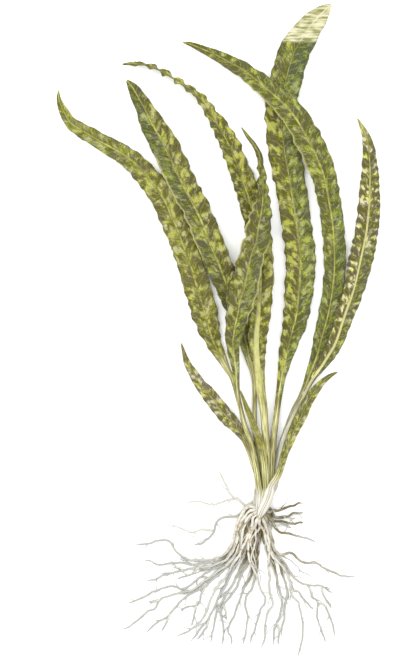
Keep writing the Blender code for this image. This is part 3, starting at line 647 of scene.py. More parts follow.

# Each leaf's own. ruffle, pillow and rib (at base and tip) are in mm, pitch is the mm between two waves of
# the margin, and green, calm, bands and fresh are how green, calm, banded and bright the left and the right
# half are. greenFrom is where the stalk takes the blade's colours, paleRib where a pale midrib ends, paleTip
# where a pale tip starts, bleach where the leaf is bleached, and colors are the skin's dark, olive and bright
# the green of a half is painted shade of a half turned from the light, and its bands are painted light and
# shade along the margin's waves
leafHabits = {
    "leaf_far_left": {
        "seed": 3, "ruffle": 1.3, "pitch": 10.2, "pillow": 0.55, "fold": 0.1, "rib": (0.8, 0.44),
        "green": (0.14, 0.06), "calm": (0.2, 0.1), "bands": (0.8, 0.9), "fresh": (0.03, 0.03), "tip": -0.1,
        "cream": (6, 19), "smooth": ((0, 222, 400), (1, 222, 400)),
        "colors": ((106, 100, 44), (141, 140, 64), (184, 180, 102)),
    },
    "leaf_left": {
        "seed": 11, "ruffle": 1.6, "pitch": 12.0, "pillow": 0.6, "rib": (0.8, 0.44), "green": (0.32, 0.1),
        "calm": (0.5, 0.0), "bands": (0.6, 1.4), "fresh": (-0.04, 0.02),
        "smooth": ((0, 205, 400), (1, 262, 400)), "paleEdges": ((0, 172, 246),),
        "colors": ((94, 88, 40), (131, 131, 60), (178, 174, 94)),
    },
    "leaf_back": {
        "seed": 23, "ruffle": 1.7, "pitch": 10.0, "pillow": 0.6, "fold": 0.14, "rib": (7.0, 0.3),
        "ribFall": 2.6, "ribRight": 0.3, "green": (0.2, 0.1), "calm": (0.1, 0.2), "bands": (1.0, 1.0),
        "fresh": (0.04, 0.12), "paleRib": (105, 170),
        "colors": ((98, 94, 38), (140, 138, 60), (184, 180, 92)),
    },
    "leaf_front": {
        "seed": 31, "ruffle": 1.5, "pitch": 9.6, "pillow": 0.6, "rib": (0.66, 0.34), "green": (0.15, 0.4),
        "calm": (0.0, 0.55), "bands": (1.2, 0.6), "fresh": (0.0, 0.0), "greenFrom": (72, 86),
        "paleEdges": ((0, 166, 212), (1, 128, 184)),
        "colors": ((100, 94, 46), (136, 136, 64), (172, 173, 98)),
    },
    "leaf_tall": {
        "seed": 47, "ruffle": 1.6, "pitch": 12.0, "pillow": 0.65, "rib": (0.72, 0.36), "green": (0.12, 0.5),
        "calm": (0.0, 0.35), "bands": (1.9, 0.6), "fresh": (0.02, 0.07), "greenFrom": (56, 78),
        "smooth": ((0, 264, 400), (1, 258, 400)), "bleach": (316.4, 317.6),
        "colors": ((98, 92, 36), (134, 136, 54), (180, 178, 84)),
    },
    "leaf_arched": {
        "seed": 53, "ruffle": 1.4, "pitch": 11.0, "pillow": 0.55, "rib": (0.7, 0.42), "green": (0.22, 0.3),
        "calm": (0.45, 0.2), "bands": (0.8, 0.9), "fresh": (0.01, 0.03), "cream": (26, 92),
        "greenFrom": (64, 84), "smooth": ((0, 70, 180), (1, 70, 225)), "paleEdges": ((0, 226, 300),),
        "colors": ((98, 95, 38), (130, 132, 54), (170, 170, 84)),
    },
    "leaf_right": {
        "seed": 67, "ruffle": 1.4, "pitch": 6.8, "pillow": 0.6, "rib": (1.3, 0.34), "bladeAt": (2, 4.2),
        "cell": (4.0, 3.0), "green": (0.05, 0.2), "calm": (0.0, 0.1), "bands": (1.4, 1.5),
        "fresh": (0.0, -0.06), "tip": -0.06, "cream": (26, 104), "greenFrom": (62, 84),
        "smooth": ((1, 60, 190),), "paleRib": (170, 262), "paleTip": (244, 262),
        "colors": ((100, 93, 52), (140, 135, 80), (216, 210, 138)),
    },
    "leaf_small_left": {
        "seed": 71, "ruffle": 0.6, "pitch": 8.6, "pillow": 0.45, "rib": (0.45, 0.28), "bladeAt": (1.5, 3),
        "cell": (3.6, 2.6), "green": (0.0, 0.0), "calm": (0.25, 0.3), "bands": (0.9, 0.9),
        "fresh": (0.05, -0.08), "colors": ((108, 101, 60), (154, 149, 100), (200, 195, 138)),
    },
    "leaf_small_right": {
        "seed": 83, "ruffle": 0.5, "pitch": 8.0, "pillow": 0.4, "fold": 0.14, "rib": (0.4, 0.22),
        "bladeAt": (1.4, 2.6), "cell": (3.8, 2.6), "green": (0.3, 0.2), "calm": (0.5, 0.45),
        "bands": (0.5, 0.6), "fresh": (0.02, 0.08), "cream": (12, 24), "paleEdges": ((1, 20, 90),),
        "colors": ((106, 101, 54), (148, 144, 82), (196, 191, 124)),
    },
    "leaf_young": {
        "seed": 97, "ruffle": 0.1, "pitch": 9.0, "pillow": 0.15, "fold": 0.3, "rib": (0.5, 0.2),
        "bladeAt": (1.6, 2.4), "green": (0.2, 0.1), "calm": (0.8, 0.7), "bands": (0.0, 0.0),
        "fresh": (0.05, 0.05), "cream": (4, 14),
        "colors": ((128, 120, 56), (158, 152, 80), (180, 174, 104)),
    },
}

# The sheath that each stalk widens into, from the crown's lower end up to the stalk, in the routes' form
sheathRoutes = {
    "leaf_far_left": [(-3.2, -5, 4.6, 0.9), (-4.2, 0, 5.2, 1.6), (-4.4, 5, 5.4, 1.8), (-3.6, 11, 5, 1.7)],
    "leaf_left": [(-1, -4, 2.2, 1), (-0.4, 1, 2, 1.8), (0.4, 6, 1.8, 1.9), (1.4, 11, 1.6, 1.7)],
    "leaf_back": [(-1.6, -4, 5.6, 1), (-0.8, 1, 6.4, 1.9), (0.4, 6, 7, 2.2), (1.8, 11, 7, 2)],
    "leaf_front": [(-2.6, -6, 6.4, 0.9), (-2.6, -1, 8, 1.7), (-2.2, 5, 8.8, 2.1), (-1.8, 11, 8.2, 2)],
    "leaf_tall": [(-0.6, -4, 3.6, 1), (0.6, 1, 4, 1.9), (2.4, 6, 4.2, 2), (4.4, 11, 4.2, 1.8)],
    "leaf_arched": [(0.2, -3, 1.8, 1), (1.4, 2, 1.6, 1.7), (3, 7, 1.6, 1.8), (4.4, 11, 1.6, 1.6)],
    "leaf_right": [(0, -4, 5, 1.1), (1.8, 1, 6, 2.1), (4.1, 6, 6.2, 2.3), (6.3, 11, 5.4, 2)],
    "leaf_small_left": [(-2.8, -4, 2.6, 1), (-3.2, 1, 2.6, 1.7), (-3, 6, 2.3, 1.7), (-2.2, 11, 1.9, 1.6)],
    "leaf_small_right": [
        (-2.4, -7, 7.2, 0.8), (-0.4, -1.5, 9.2, 3), (2.8, 5, 10.2, 3.5), (5, 11, 10.2, 2.9),
    ],
    "leaf_young": [(-1.2, -2, 7.8, 0.9), (-0.2, 3, 8.8, 1.6), (0.8, 8, 9.4, 1.7), (1.8, 12, 9.4, 1.5)],
}


def frameLeaf(stations, habit):
    # along the leaf: place, directions, how much of it is blade, and the waves of its two margins
    count = len(stations) - 1
    seed = habit["seed"]
    total = stations[-1][1]
    widest = max(range(count + 1), key=lambda number: stations[number][0][3])
    ribBase, ribTip = habit["rib"]
    phases = [seed * 1.7, seed * 2.9]
    frames = []
    for number, (row, gone) in enumerate(stations):
        before = Vector(stations[max(number - 2, 0)][0][:3])
        after = Vector(stations[min(number + 2, count)][0][:3])
        along = (after - before).normalized()
        level = Vector((-along.y, along.x, 0)).normalized()
        up = along.cross(level)
        roll = math.radians(row[4])
        blade = 1.0 if number > widest else fade(row[3], *habit["bladeAt"])
        blade *= fade(row[1], *leafBuild["bladeFrom"])
        swollen = leafBuild["swollen"] * (1 - blade) * fade(row[1], 8, 16) * (1 - fade(row[1], 26, 70))
        for side in (0, 1):
            uneven = 1 + leafBuild["unevenWaves"] * wobble(gone / 13, seed + side * 5.3, 1.5)
            phases[side] += 2 * math.pi * leafBuild["spacing"] / habit["pitch"] * uneven
        frames.append({
            "place": Vector(row[:3]),
            "across": level * math.cos(roll) + up * math.sin(roll),
            "out": up * math.cos(roll) - level * math.sin(roll),
            "half": row[3] * (1 + swollen),
            "blade": blade,
            "gone": gone,
            "share": gone / total,
            "waves": tuple(phases),
            "strength": (0.75 + 0.8 * wobble(gone / 18, seed + 0.5, 4.5)) * fade(row[3], 0.5, 6),
            "rib": ribTip + (ribBase - ribTip) * (1 - gone / total) ** habit["ribFall"],
        })
    return frames


def findSmooth(habit, side, y):
    # how far a place is inside a smooth stretch of its half, from 0 to 1
    smoothed = 0.0
    for smoothSide, low, high in habit["smooth"]:
        if smoothSide == side:
            smoothed = fade(y, low, low + 20) * (1 - fade(y, high - 20, high))
    return smoothed


def findPale(habit, station, side, w, along, ribMask):
    # how bleached the skin is: flecks and stretches of the margin, the tip or the end, and the midrib
    blade = station["blade"]
    y = station["place"].y
    flecks = fade(wobble(station["gone"] / 9, habit["seed"], side * 3.1 + 5), 0.02, 0.3)
    pale = leafTones["flecks"] * flecks * fade(w, 0.9, 0.99) * blade
    for edgeSide, low, high in habit["paleEdges"]:
        if edgeSide == side:
            shown = fade(y, low, low + 6) * (1 - fade(y, high - 6, high))
            pale = max(pale, fade(w, 0.88, 0.97) * blade * shown)
    if "paleTip" in habit:
        pale = max(pale, leafTones["paleTip"] * fade(y, *habit["paleTip"]))
    if "bleach" in habit:
        pale = fade(along, *habit["bleach"])
    if "paleRib" in habit:
        pale = max(pale, leafTones["paleRib"] * ribMask * blade * (1 - fade(y, *habit["paleRib"])))
    return pale


def growLeaf(name, rows, habit):
    stations = alongRoute(sheathRoutes[name] + rows, leafBuild["spacing"])
    frames = frameLeaf(stations, habit)
    count = len(stations) - 1
    columns = leafBuild["columns"]
    seed = habit["seed"]
    cellLong, cellWide = habit["cell"]
    raggedWave, raggedSlow, raggedFine = leafBuild["ragged"]
    bm = bmesh.new()
    bmesh.ops.create_grid(bm, x_segments=count, y_segments=columns * 2, size=1.0)
    cells = bm.verts.layers.float_color.new("cells")
    parts = bm.verts.layers.float_color.new("parts")
    grown = {}
    for vertex in bm.verts:
        # the grid's x runs along the leaf, and its y over the upper side and back below; v goes from -1 at
        # the right margin to 1 at the left one, and w from the midrib out
        number = round((vertex.co.x + 1) / 2 * count)
        column = round((vertex.co.y + 1) / 2 * columns * 2)
        top = column <= columns
        place = column if top else columns * 2 - column
        spread = place / columns * 2 - 1
        v = math.copysign(abs(spread) ** leafBuild["crowd"], spread)
        w = abs(v)
        station = frames[number]
        half, blade, gone, strength = (station[key] for key in ("half", "blade", "gone", "strength"))
        side = 0 if v > 0 else 1
        wave = station["waves"][side]
        aside = v * half
        y = station["place"].y
        # quilting: uneven pillows between the side nerves, slanting towards the tip
        spot = Vector(((gone - w * half * leafBuild["slant"]) / cellLong, aside / cellWide + seed, 0.5))
        spot += noise.noise_vector(spot * 1.3) * leafBuild["unevenPillows"]
        distances, _ = noise.voronoi(spot)
        rise = distances[1] - distances[0]
        pillow = fade(rise, 0.0, 0.5)
        smoothed = findSmooth(habit, side, y)
        calm = max(habit["calm"][side], leafTones["smoothCalm"] * smoothed)
        # painted shade in the creases between the pillows
        creaseShade = (1 - fade(rise, 0.02, 0.25)) * blade * (1 - calm * 0.6)
        rib = station["rib"] * (habit["ribRight"] if side else 1.0)
        ribMask = 1 - fade(abs(aside), rib * 0.7, rib * 1.25)
        # besideRib also darkens the skin, painted shade in the groove beside the midrib
        besideRib = (1 - fade(abs(aside), rib, rib + 0.9)) * (1 - ribMask)
        pillowLift = (pillow - 0.4) * habit["pillow"] * blade * fade(abs(aside), rib, rib + 1.6)
        pillowLift *= (1 - 0.5 * fade(w, 0.85, 1.0)) * (1 - calm * 0.5)
        # the crisped margin, up and down and in and out
        lobe = math.sin(wave) + leafBuild["secondWave"] * math.sin(2 * wave + 1.3)
        ruffle = habit["ruffle"] * strength * blade * lobe * w ** 1.8 * (1 - 0.7 * calm)
        gutter = habit["fold"] * abs(aside) * blade
        ribLift = (leafBuild["ribOver"] * ribMask - leafBuild["ribGroove"] * besideRib) * blade
        lift = ruffle + gutter + pillowLift + ribLift
        ragged = raggedWave * strength * math.cos(wave) * (1 - 0.8 * calm)
        ragged += raggedSlow * wobble(gone / 7.5, seed + side * 3.7, 8.5)
        ragged += raggedFine * wobble(gone / 2.2, seed + side * 3.7, 2.5)
        reach = aside * (1 + ragged * blade * fade(w, 0.5, 1.0))
        thin = leafBuild["edgeHalf"] * min(1.0, (1 - w) * 9) + (0 if top else leafBuild["ribUnder"] * ribMask)
        stalk = leafBuild["stalkHalf"] * math.sqrt(max(1 - v * v, 0.0)) * min(half / 1.5, 1.0)
        stalk -= leafBuild["channel"] * (1 - w) ** 2 if top else 0.0
        thick = thin * blade + stalk * (1 - blade)
        height = lift + (thick if top else -thick)
        point = station["place"] + station["across"] * reach + station["out"] * height
        vertex.co = keepInside(crownPlace + point * mm)
        # colour: bands across the crisped margin, painted light and shade that follows its waves, then
        # blotches, and a painted highlight on the pillows' crowns with painted shade between them
        sway = wave - 2.2 * w + 2.4 * wobble(gone / 6, aside / 3, seed)
        band = math.sin(sway) * fade(w, 0.15, 0.7) * habit["bands"][side]
        blotch = noise.noise(spot * 1.15 + Vector((0, 0, 9)))
        marbled = leafTones["band"] * band + leafTones["blotch"] * blotch
        tone = leafTones["middle"] + habit["fresh"][side] + marbled * (1 - calm * 0.7)
        tone += leafTones["pillow"] * (pillow - 0.6)
        tone += leafTones["slow"] * wobble(gone / 26, seed, side * 4.4 + 3)
        tone -= habit["tip"] * fade(station["share"], 0.88, 1.0)
        # painted shade where the margin dips
        dip = leafTones["turnedDown"] * fade(w, 0.72, 0.95) * max(-lobe, 0.0) * (1 - calm)
        tone -= leafTones["margin"] * fade(w, 0.86, 0.98) + dip
        pale = findPale(habit, station, side, w, point.y, ribMask)
        # painted shade on a stalk's rounded edges, broader on its right one
        edge = fade(w, *((0.68, 0.95), (0.4, 0.85))[side]) * (1 - blade) * (0.35 + 0.65 * fade(y, 16, 44))
        stem = 1 - blade
        if "greenFrom" in habit:
            stem = min(stem, 1 - fade(y, *habit["greenFrom"]))
        green = habit["green"][side] + leafTones["smoothGreen"] * smoothed
        # the second value of cells is painted shade: the creases, the groove beside the midrib and a stalk's
        # rounded edges
        vertex[cells] = (tone, max(creaseShade, besideRib * 0.9, edge), green, 0 if top else 1)
        vertex[parts] = (max(ribMask, stem), ribMask * blade, 1 - fade(y, *habit["cream"]), pale)
        grown[vertex.index] = (gone / 10, aside / 10 + (0 if top else 5))
    uvLayer = bm.loops.layers.uv.new("grown")
    for face in bm.faces:
        for loop in face.loops:
            loop[uvLayer].uv = grown[loop.vert.index]
    closeEnds(bm)
    placePiece(bm, makeLeafMaterial(f"{name}Skin", habit), name)


for leafName, leafRows in leafRoutes.items():
    growLeaf(leafName, leafRows, {**usualHabit, **leafHabits[leafName]})
print("leaves are grown")


# The crown: the short knobbly stem inside the sheaths, seen where the roots leave it

crownBuild = {
    "middle": (-0.2, 0.8, 4.4),  # mm, in the routes' form
    "size": (4.4, 8.0, 4.0),  # half lengths in mm
    "lean": 0.16,  # how far it leans to the left per mm towards its lower end
    "knob": 0.8,  # mm that its knobs stand out
    "ring": 0.35,  # mm deep leaf scars
    "rings": 2.1,  # how closely they follow each other
    "knots": (420.0, 5.0),  # scale and detail of its spots
    "roughness": 0.72,
    "bump": (0.6, 0.0004),
}


def makeCrownMaterial():
    material, tree, shader = newMaterial("crownSkin")
    place = addNode(tree, "ShaderNodeTexCoord").outputs["Object"]
    knots = addNoise(tree, place, *crownBuild["knots"])
    color = ramp(tree, knots, [
        (0.34, linear(86, 76, 60)), (0.48, linear(132, 118, 92)), (0.58, linear(202, 190, 164)),
        (0.7, linear(232, 220, 200)),
    ])
    tree.links.new(color, shader.inputs["Base Color"])
    shader.inputs["Roughness"].default_value = crownBuild["roughness"]
    addBump(tree, knots, *crownBuild["bump"])
    return material


def growCrown():
    bm = bmesh.new()
    bmesh.ops.create_icosphere(bm, subdivisions=5, radius=1.0)
    middle = Vector(crownBuild["middle"])
    for vertex in bm.verts:
        direction = vertex.co.normalized()
        point = Vector([share * half for share, half in zip(direction, crownBuild["size"])])
        knob = noise.noise(point / 2.2 + Vector((4, 0, 1))) + 0.5 * noise.noise(point / 0.9)
        ring = math.sin(point.y * crownBuild["rings"] + noise.noise(point / 3) * 2)
        point += direction * (crownBuild["knob"] * knob + crownBuild["ring"] * ring)
        point.x += point.y * crownBuild["lean"]
        vertex.co = keepInside(crownPlace + (middle + point) * mm)
    placePiece(bm, makeCrownMaterial(), "crown")


growCrown()
print("crown is grown")


# Routes of the roots and their forks, as in the solids: place in mm, then height of the underside, if not 0

rootRoutes = {
    "root_01": [
        (4.9, -2.6, 5.4), (7.5, -1.6, 3), (12.2, -1.9, 0.6), (16.9, -0.3), (21.5, 1.2), (27.2, 3.4),
    ],
    "root_02": [
        (5.2, -0.6, 2.6), (7.4, -4.4, 0.8), (9.2, -6.4), (14.1, -6.9), (18, -6.3), (21.5, -3.9),
        (28.9, -3.4),
    ],
    "root_03": [
        (3.9, -5, 5.6), (6.5, -7.9, 3), (9.5, -9, 1), (14.1, -9.2), (18, -10.1), (22.7, -10.9),
        (26.5, -9.7), (29.1, -10.2),
    ],
    "root_04": [
        (3, -2.6, 0.6), (7, -8.8, 0.2), (8.6, -12.9), (11.2, -16.3), (16.9, -17.5), (23.5, -18.7),
        (28.6, -20.7), (37.4, -23.8),
    ],
    "root_05": [
        (2.5, -6.9, 6), (4.1, -10.9, 3), (5.4, -15, 2.2), (6.4, -21.8, 2), (7.5, -26.2, 2), (9.2, -29.2, 2),
        (11.9, -31.3, 1.8), (15, -31.6, 1), (19.7, -30.6), (24.5, -34), (28.9, -37), (38.8, -38.8),
        (41.1, -40.9), (51, -44.7), (56.9, -46.8), (65.1, -47.1),
    ],
    "root_06": [
        (3.9, -4.8, 2.7), (4.4, -10, 0.8), (4.5, -15), (5.7, -21.8), (7.5, -27.2), (10.2, -31.6),
        (13.3, -35), (16.7, -39.1), (19.4, -44.2), (23.1, -49), (28.8, -52.4), (35.2, -53.5), (39.9, -53),
        (45.2, -56.4), (49.3, -58.8),
    ],
    "root_07": [
        (0.6, -8.5, 6), (2, -11.2, 3), (3.3, -15, 2.2), (4.5, -21.8, 2), (5.4, -26.5, 2), (6.9, -30.9, 2),
        (9.9, -35.4, 1.8), (13.6, -40.1, 0.8), (17, -44.9), (18.5, -50.3), (19.2, -55.8), (20.4, -60.9),
        (24.1, -64.6), (26.5, -71.7), (27.9, -78.7), (27, -91.1), (24.3, -103.6),
    ],
    "root_08": [
        (2.2, -6.4, 0.6), (2.5, -10.6, 0.1), (2.6, -15), (3.7, -21.8), (5.3, -27.2), (7.6, -32.6),
        (10.6, -37.1), (12.6, -41.5), (13.8, -46.5), (16, -51.7), (17.1, -57.1), (16.3, -63.9),
        (15.3, -73.4), (12.9, -88.1),
    ],
    "root_09": [
        (0.7, -8.2, 2.8), (0.6, -11.2, 0.8), (0.7, -15), (1.7, -21.8), (3.1, -27.2), (5.3, -32.6),
        (7.9, -38.1), (9.5, -44.2), (10.7, -50), (12.2, -55.8), (13.9, -64.6), (12.9, -72.1), (10.1, -78.5),
        (8.2, -85.7), (7.1, -95.9),
    ],
    "root_10": [
        (-1.8, -9.1, 6), (-0.5, -11.6, 3), (1.3, -15, 2.2), (2.6, -21.8, 2), (3.6, -26.5, 2),
        (4.1, -31.3, 2), (4.2, -36, 2), (4.5, -42.8, 1), (5.1, -50.3), (5.6, -57.7), (7.2, -62.9),
        (6.8, -67.6), (3.6, -72.8), (2.4, -79.9), (1.8, -88.1), (-1.2, -96.9),
    ],
    "root_11": [
        (-3.9, -7.8, 6), (-4.4, -11.3, 3), (-5.7, -15, 2.2), (-7.6, -18.7, 2), (-8.9, -22.4, 2),
        (-9.5, -27.9, 2), (-8.6, -34.7, 2), (-6.4, -39.4, 2), (-4.1, -44.2, 2), (-2.7, -49.6, 1),
        (-1.4, -55.1), (1.2, -60.5), (1.5, -64.6), (-0.8, -68.7), (-3, -76.8), (-5.8, -85), (-9.3, -94.5),
    ],
    "root_12": [
        (-1.3, -8.8, 2.8), (-1.4, -11.6, 0.6), (-1.4, -15), (-1.8, -21.8), (-2.4, -28.6), (-3.1, -35.4),
        (-3.7, -42.2), (-5.2, -49), (-7.8, -55.8), (-10.6, -61.2), (-11.2, -66.6), (-9.8, -73.4),
        (-11.7, -88.1), (-13.1, -95.2),
    ],
    "root_13": [
        (-3.1, -8.2, 2.8), (-3.4, -11.4, 0.6), (-3.5, -15), (-4.2, -21.8), (-4.9, -28.6), (-5.4, -35.4),
        (-6.3, -42.2), (-7.6, -46.9), (-9.8, -51), (-13.5, -56.4), (-15.2, -63.5), (-18, -68.3),
        (-19.9, -75.2), (-22.2, -82.3), (-22, -85.7), (-20.7, -89.1), (-21.9, -96.6),
    ],
    "root_14": [
        (-3.6, -6.4, 0.5), (-5.2, -10.8, 0.1), (-5.5, -15), (-6.6, -21.8), (-7.6, -28.6), (-8.7, -35.4),
        (-11.2, -41.5), (-14.7, -47.6), (-17.4, -54.4), (-21.4, -60.5), (-25.7, -66), (-28, -72.1),
        (-26.8, -78.6), (-25.7, -87), (-27.9, -96.2),
    ],
    "root_15": [
        (-5.6, -5.2, 2.8), (-6.8, -10, 1.1), (-7.5, -15), (-8.8, -21.8), (-10.2, -28.6), (-11.8, -35.4),
        (-15.2, -42.2), (-19, -49), (-22.4, -55.8), (-26.2, -62.6), (-30.1, -70), (-33.6, -84.3),
        (-35.2, -94.5),
    ],
    "root_16": [
        (-4.6, -2.8, 0.5), (-8.2, -9, 0.1), (-9.5, -15), (-11, -21.8), (-12.6, -28.6), (-15.1, -35.4),
        (-19, -42.2), (-22.8, -49), (-26.5, -55.8), (-30.5, -62.6), (-35, -73.4), (-38.5, -78.6),
        (-41.9, -81.9), (-49.8, -92.8),
    ],
    "root_17": [
        (-5.3, -5.8, 6), (-6.4, -10.9, 3), (-7.9, -15, 2.2), (-9.9, -18.7, 2), (-11.6, -22.4, 2),
        (-13.5, -26.5, 2), (-15.4, -30.6, 2), (-17.8, -35.4, 2), (-20.5, -40.1, 1), (-23.5, -44.9),
        (-27.5, -50.3), (-31.3, -55.8), (-35.6, -66.2), (-38.2, -72.4), (-42.4, -78.1), (-46.9, -82.3),
        (-52.6, -85.4), (-60, -88.8),
    ],
    "root_18": [
        (-6.6, -1.4, 2.8), (-9.6, -8.2, 1.1), (-11.4, -15), (-13.1, -21.8), (-15.2, -28.6), (-18.4, -34),
        (-22.1, -38.8), (-26.7, -43.5), (-31.3, -47.6), (-36, -51.7), (-41.5, -55.4), (-47.9, -58.6),
        (-52.6, -61.9), (-57.9, -66), (-61.9, -71.4), (-69.4, -76.7), (-72.9, -79.4), (-81.4, -86.6),
    ],
    "root_19": [
        (-6.2, -3.6, 6), (-8.4, -5.7, 4.2), (-11, -9.9, 2.9), (-13.2, -15, 2), (-14.8, -21.8, 2),
        (-16.7, -27.9, 2), (-18.6, -32, 2), (-21.1, -35.7, 2), (-24.1, -39.4, 1.4), (-30.6, -43.9, 0.2),
        (-37.1, -48.3), (-42.5, -52.7), (-48.6, -56.2), (-54.4, -57.3), (-59.4, -59), (-69, -62.4),
        (-72.9, -69), (-77.5, -70.9), (-91, -81.3), (-98.3, -83.4),
    ],
    "root_20": [
        (-4.6, 0.9, 0.5), (-11, -7, 0.1), (-13.4, -15), (-15.1, -21.8), (-17.7, -27.9), (-20.7, -32.6),
        (-24.5, -36.4), (-28.8, -39.8), (-33.6, -42.6), (-39.4, -45.7), (-44.9, -50), (-49.4, -53.4),
        (-54.4, -55.1), (-58.8, -54), (-63.9, -53.7), (-74.1, -56.7), (-78, -59.5), (-94.2, -66.8),
    ],
    "root_21": [
        (-6.8, -1.3, 6), (-9.2, -2.6, 4), (-12.2, -6.4, 3), (-14.3, -10.5, 2.4), (-15.5, -15, 2),
        (-17, -21.8, 2), (-19.2, -27.9, 2), (-21.8, -32.3, 2), (-25.2, -35.6, 2), (-29.5, -38.5, 1),
        (-34.7, -40.1), (-41.3, -40.5), (-48.1, -41.1), (-53.7, -42.6), (-63.9, -46), (-67.3, -46.2),
        (-72.9, -48.8), (-80.2, -49.9),
    ],
    "root_22": [
        (-6.8, 2.4, 2.8), (-11.6, -4, 0.8), (-14.3, -9.5, 0.2), (-15.5, -15), (-17.3, -21.8),
        (-20.3, -27.9), (-23.4, -32), (-27.2, -35.2), (-32, -37.3), (-40.1, -37.9), (-44.9, -39),
        (-50.3, -38.4), (-54.4, -37.5), (-58.5, -37.7), (-69, -39.2), (-76.3, -36.7), (-79.7, -36.4),
    ],
    "root_23": [
        (-7, 1.1, 6), (-9.9, 0.5, 4.4), (-12.9, -2.3, 3.2), (-15.2, -6.1, 2.6), (-16.9, -10.5, 2.2),
        (-18, -15, 2), (-19.3, -21.8, 2), (-21.8, -27.2, 2), (-24.3, -30.7, 2), (-28.3, -33.2, 1.2),
        (-33.7, -35), (-39.6, -35.3), (-47.6, -36.7), (-50.3, -35.3), (-53.7, -33), (-59.4, -28.8),
        (-63.9, -22.4), (-71.8, -22.6), (-79.7, -25), (-88.7, -25.6),
    ],
    "root_24": [
        (-4.8, 4.6, 0.9), (-10.6, 0.3, 0.3), (-15, -3.9), (-19.7, -6.3), (-26, -7.1), (-30.2, -9.5),
        (-32.1, -12.9), (-33.5, -17.2), (-37.9, -21.5), (-42.4, -24.3), (-46.9, -24.8),
    ],
}

rootForks = {
    "root_02": [
        [(15, -6.7, 0.1), (19.7, -7.3), (23.1, -7.5)],
    ],
    "root_04": [
        [(9.2, -13.7, 0.1), (11.6, -12.2), (17, -12.8), (20.4, -13.9)],
    ],
    "root_06": [
        [
            (30.9, -52.9, 0.1), (34, -57.5), (34.2, -61.2), (38.1, -64.3), (38.1, -76.2), (40.5, -84.6),
            (43.5, -92.8),
        ],
        [(39.9, -53, 0.1), (42.2, -58.8), (47.6, -68.7)],
        [(38.3, -66.3, 0.1), (41.1, -65.8), (44.6, -69.4), (48.1, -80.9), (49.6, -88.1)],
    ],
    "root_07": [
        [(19.3, -56.8, 0.1), (25.2, -57.8), (28.8, -62.4), (35.4, -69.4)],
    ],
    "root_09": [
        [(10.2, -78.4, 0.1), (11.4, -83.6), (11.3, -93.8)],
    ],
    "root_14": [
        [(-26.1, -66.5, 0.1), (-24.5, -70.7), (-23.8, -76.2)],
    ],
    "root_16": [
        [(-36, -75.1, 0.1), (-37.7, -81.6), (-44.2, -90.1)],
    ],
    "root_18": [
        [
            (-37.7, -52.9, 0.1), (-41.1, -58.5), (-41.8, -62.6), (-43.9, -65.6), (-52.6, -68.7),
            (-55.8, -70.4),
        ],
        [(-62.4, -72.1, 0.1), (-65, -77.5), (-68.8, -84.3)],
        [(-44.2, -63.6, 0.1), (-45.2, -71.4), (-47.9, -80.9)],
    ],
    "root_19": [
        [(-68.8, -62.4, 0.1), (-73.1, -63.9), (-77.2, -64.1)],
    ],
    "root_21": [
        [(-42.8, -40.5, 0.1), (-46.9, -44.2), (-49.6, -45.6), (-57.7, -49)],
        [(-54.1, -42.7, 0.1), (-56.8, -40.9), (-60.7, -41.1)],
    ],
    "root_24": [
        [(-33, -15.6, 0.1), (-38.1, -15.1), (-42.4, -15), (-48.7, -16.6), (-54.9, -13.9), (-64.5, -12.1)],
        [
            (-10.6, 0.3, 0.4), (-14.3, 3.7), (-17.7, 5.2), (-22.4, 5.4), (-29.2, 2.9), (-33.3, 1.4),
            (-42.8, 4.1), (-52.4, 3.4),
        ],
        [(-14.3, 3.7, 0.1), (-16.3, 6.5), (-20.4, 8.4), (-23.5, 13.6), (-29.2, 25.8)],
    ],
}

rootBuild = {
    "spacing": 1.25,  # mm between two rings of a root
    "sides": 8,  # strips round a root
    "radius": (1.1, 0.6),  # mm at the crown and at the tip
    "forkRadius": (0.8, 0.54),
    "thinFrom": (18.0, 58.0),  # mm from the crown between which a root thins to what runs out over the floor
    "kink": 0.6,  # mm that a root strays from its route
    "bundle": ("root_05", "root_23"),  # the roots that hang together under the crown
    "faintForks": ("root_24",),  # roots whose forks stay light
    "forkReach": (6, 200),  # mm up to which a fork keeps its colour, and a faint one
    "seed": 40,
}

rootletBuild = {
    "spacing": 1.5,  # mm between two rings
    "sides": 5,
    "start": (12, 60),  # mm from the crown to the first, on a free root and in the bundle
    "every": (11.0, 24.0),  # mm
    "long": (7.0, 22.0),  # mm
    "radius": (0.32, 0.16),
    "turn": (28.0, 62.0),  # degrees from the root it grows on
    "back": (10, 45),  # degrees that it turns back on its way
    "hump": (0.0, 0.9),  # mm that it stands off the floor
}

# The finer root that winds between each root of the bundle and the next
strandBuild = {
    "rings": 70,
    "sides": 7,
    "radius": (0.85, 0.28),
    "thick": (0.75, 1.25),
    "share": (0.15, 0.85),  # where it lies between the two
    "cut": (0.4, 0.85),  # share of their length that it has
    "turn": (24, 44),  # mm of a full turn
    "high": (0.2, 1.0),
    "hump": 2.4,  # mm that the highest lie over the main roots
    "twist": 1.6,  # mm that it swings to the sides
    "dark": (0.05, 0.15, 0.75),
    "reach": 44,
}

rootColors = {
    "grey": linear(208, 207, 196),
    "pale": linear(184, 184, 177),
    "cream": linear(250, 246, 234),
    "peach": linear(228, 208, 184),
    "brown": linear(138, 124, 76),
    "dark": linear(96, 86, 48),
}

rootSkin = {
    "blotches": (330.0, 4.0),  # scale and detail
    "grain": (1500.0, 3.0),
    "specks": 1.6,  # how dark the grain's dark side is
    "roughness": 0.6,
    "bump": (0.5, 0.0002),
}

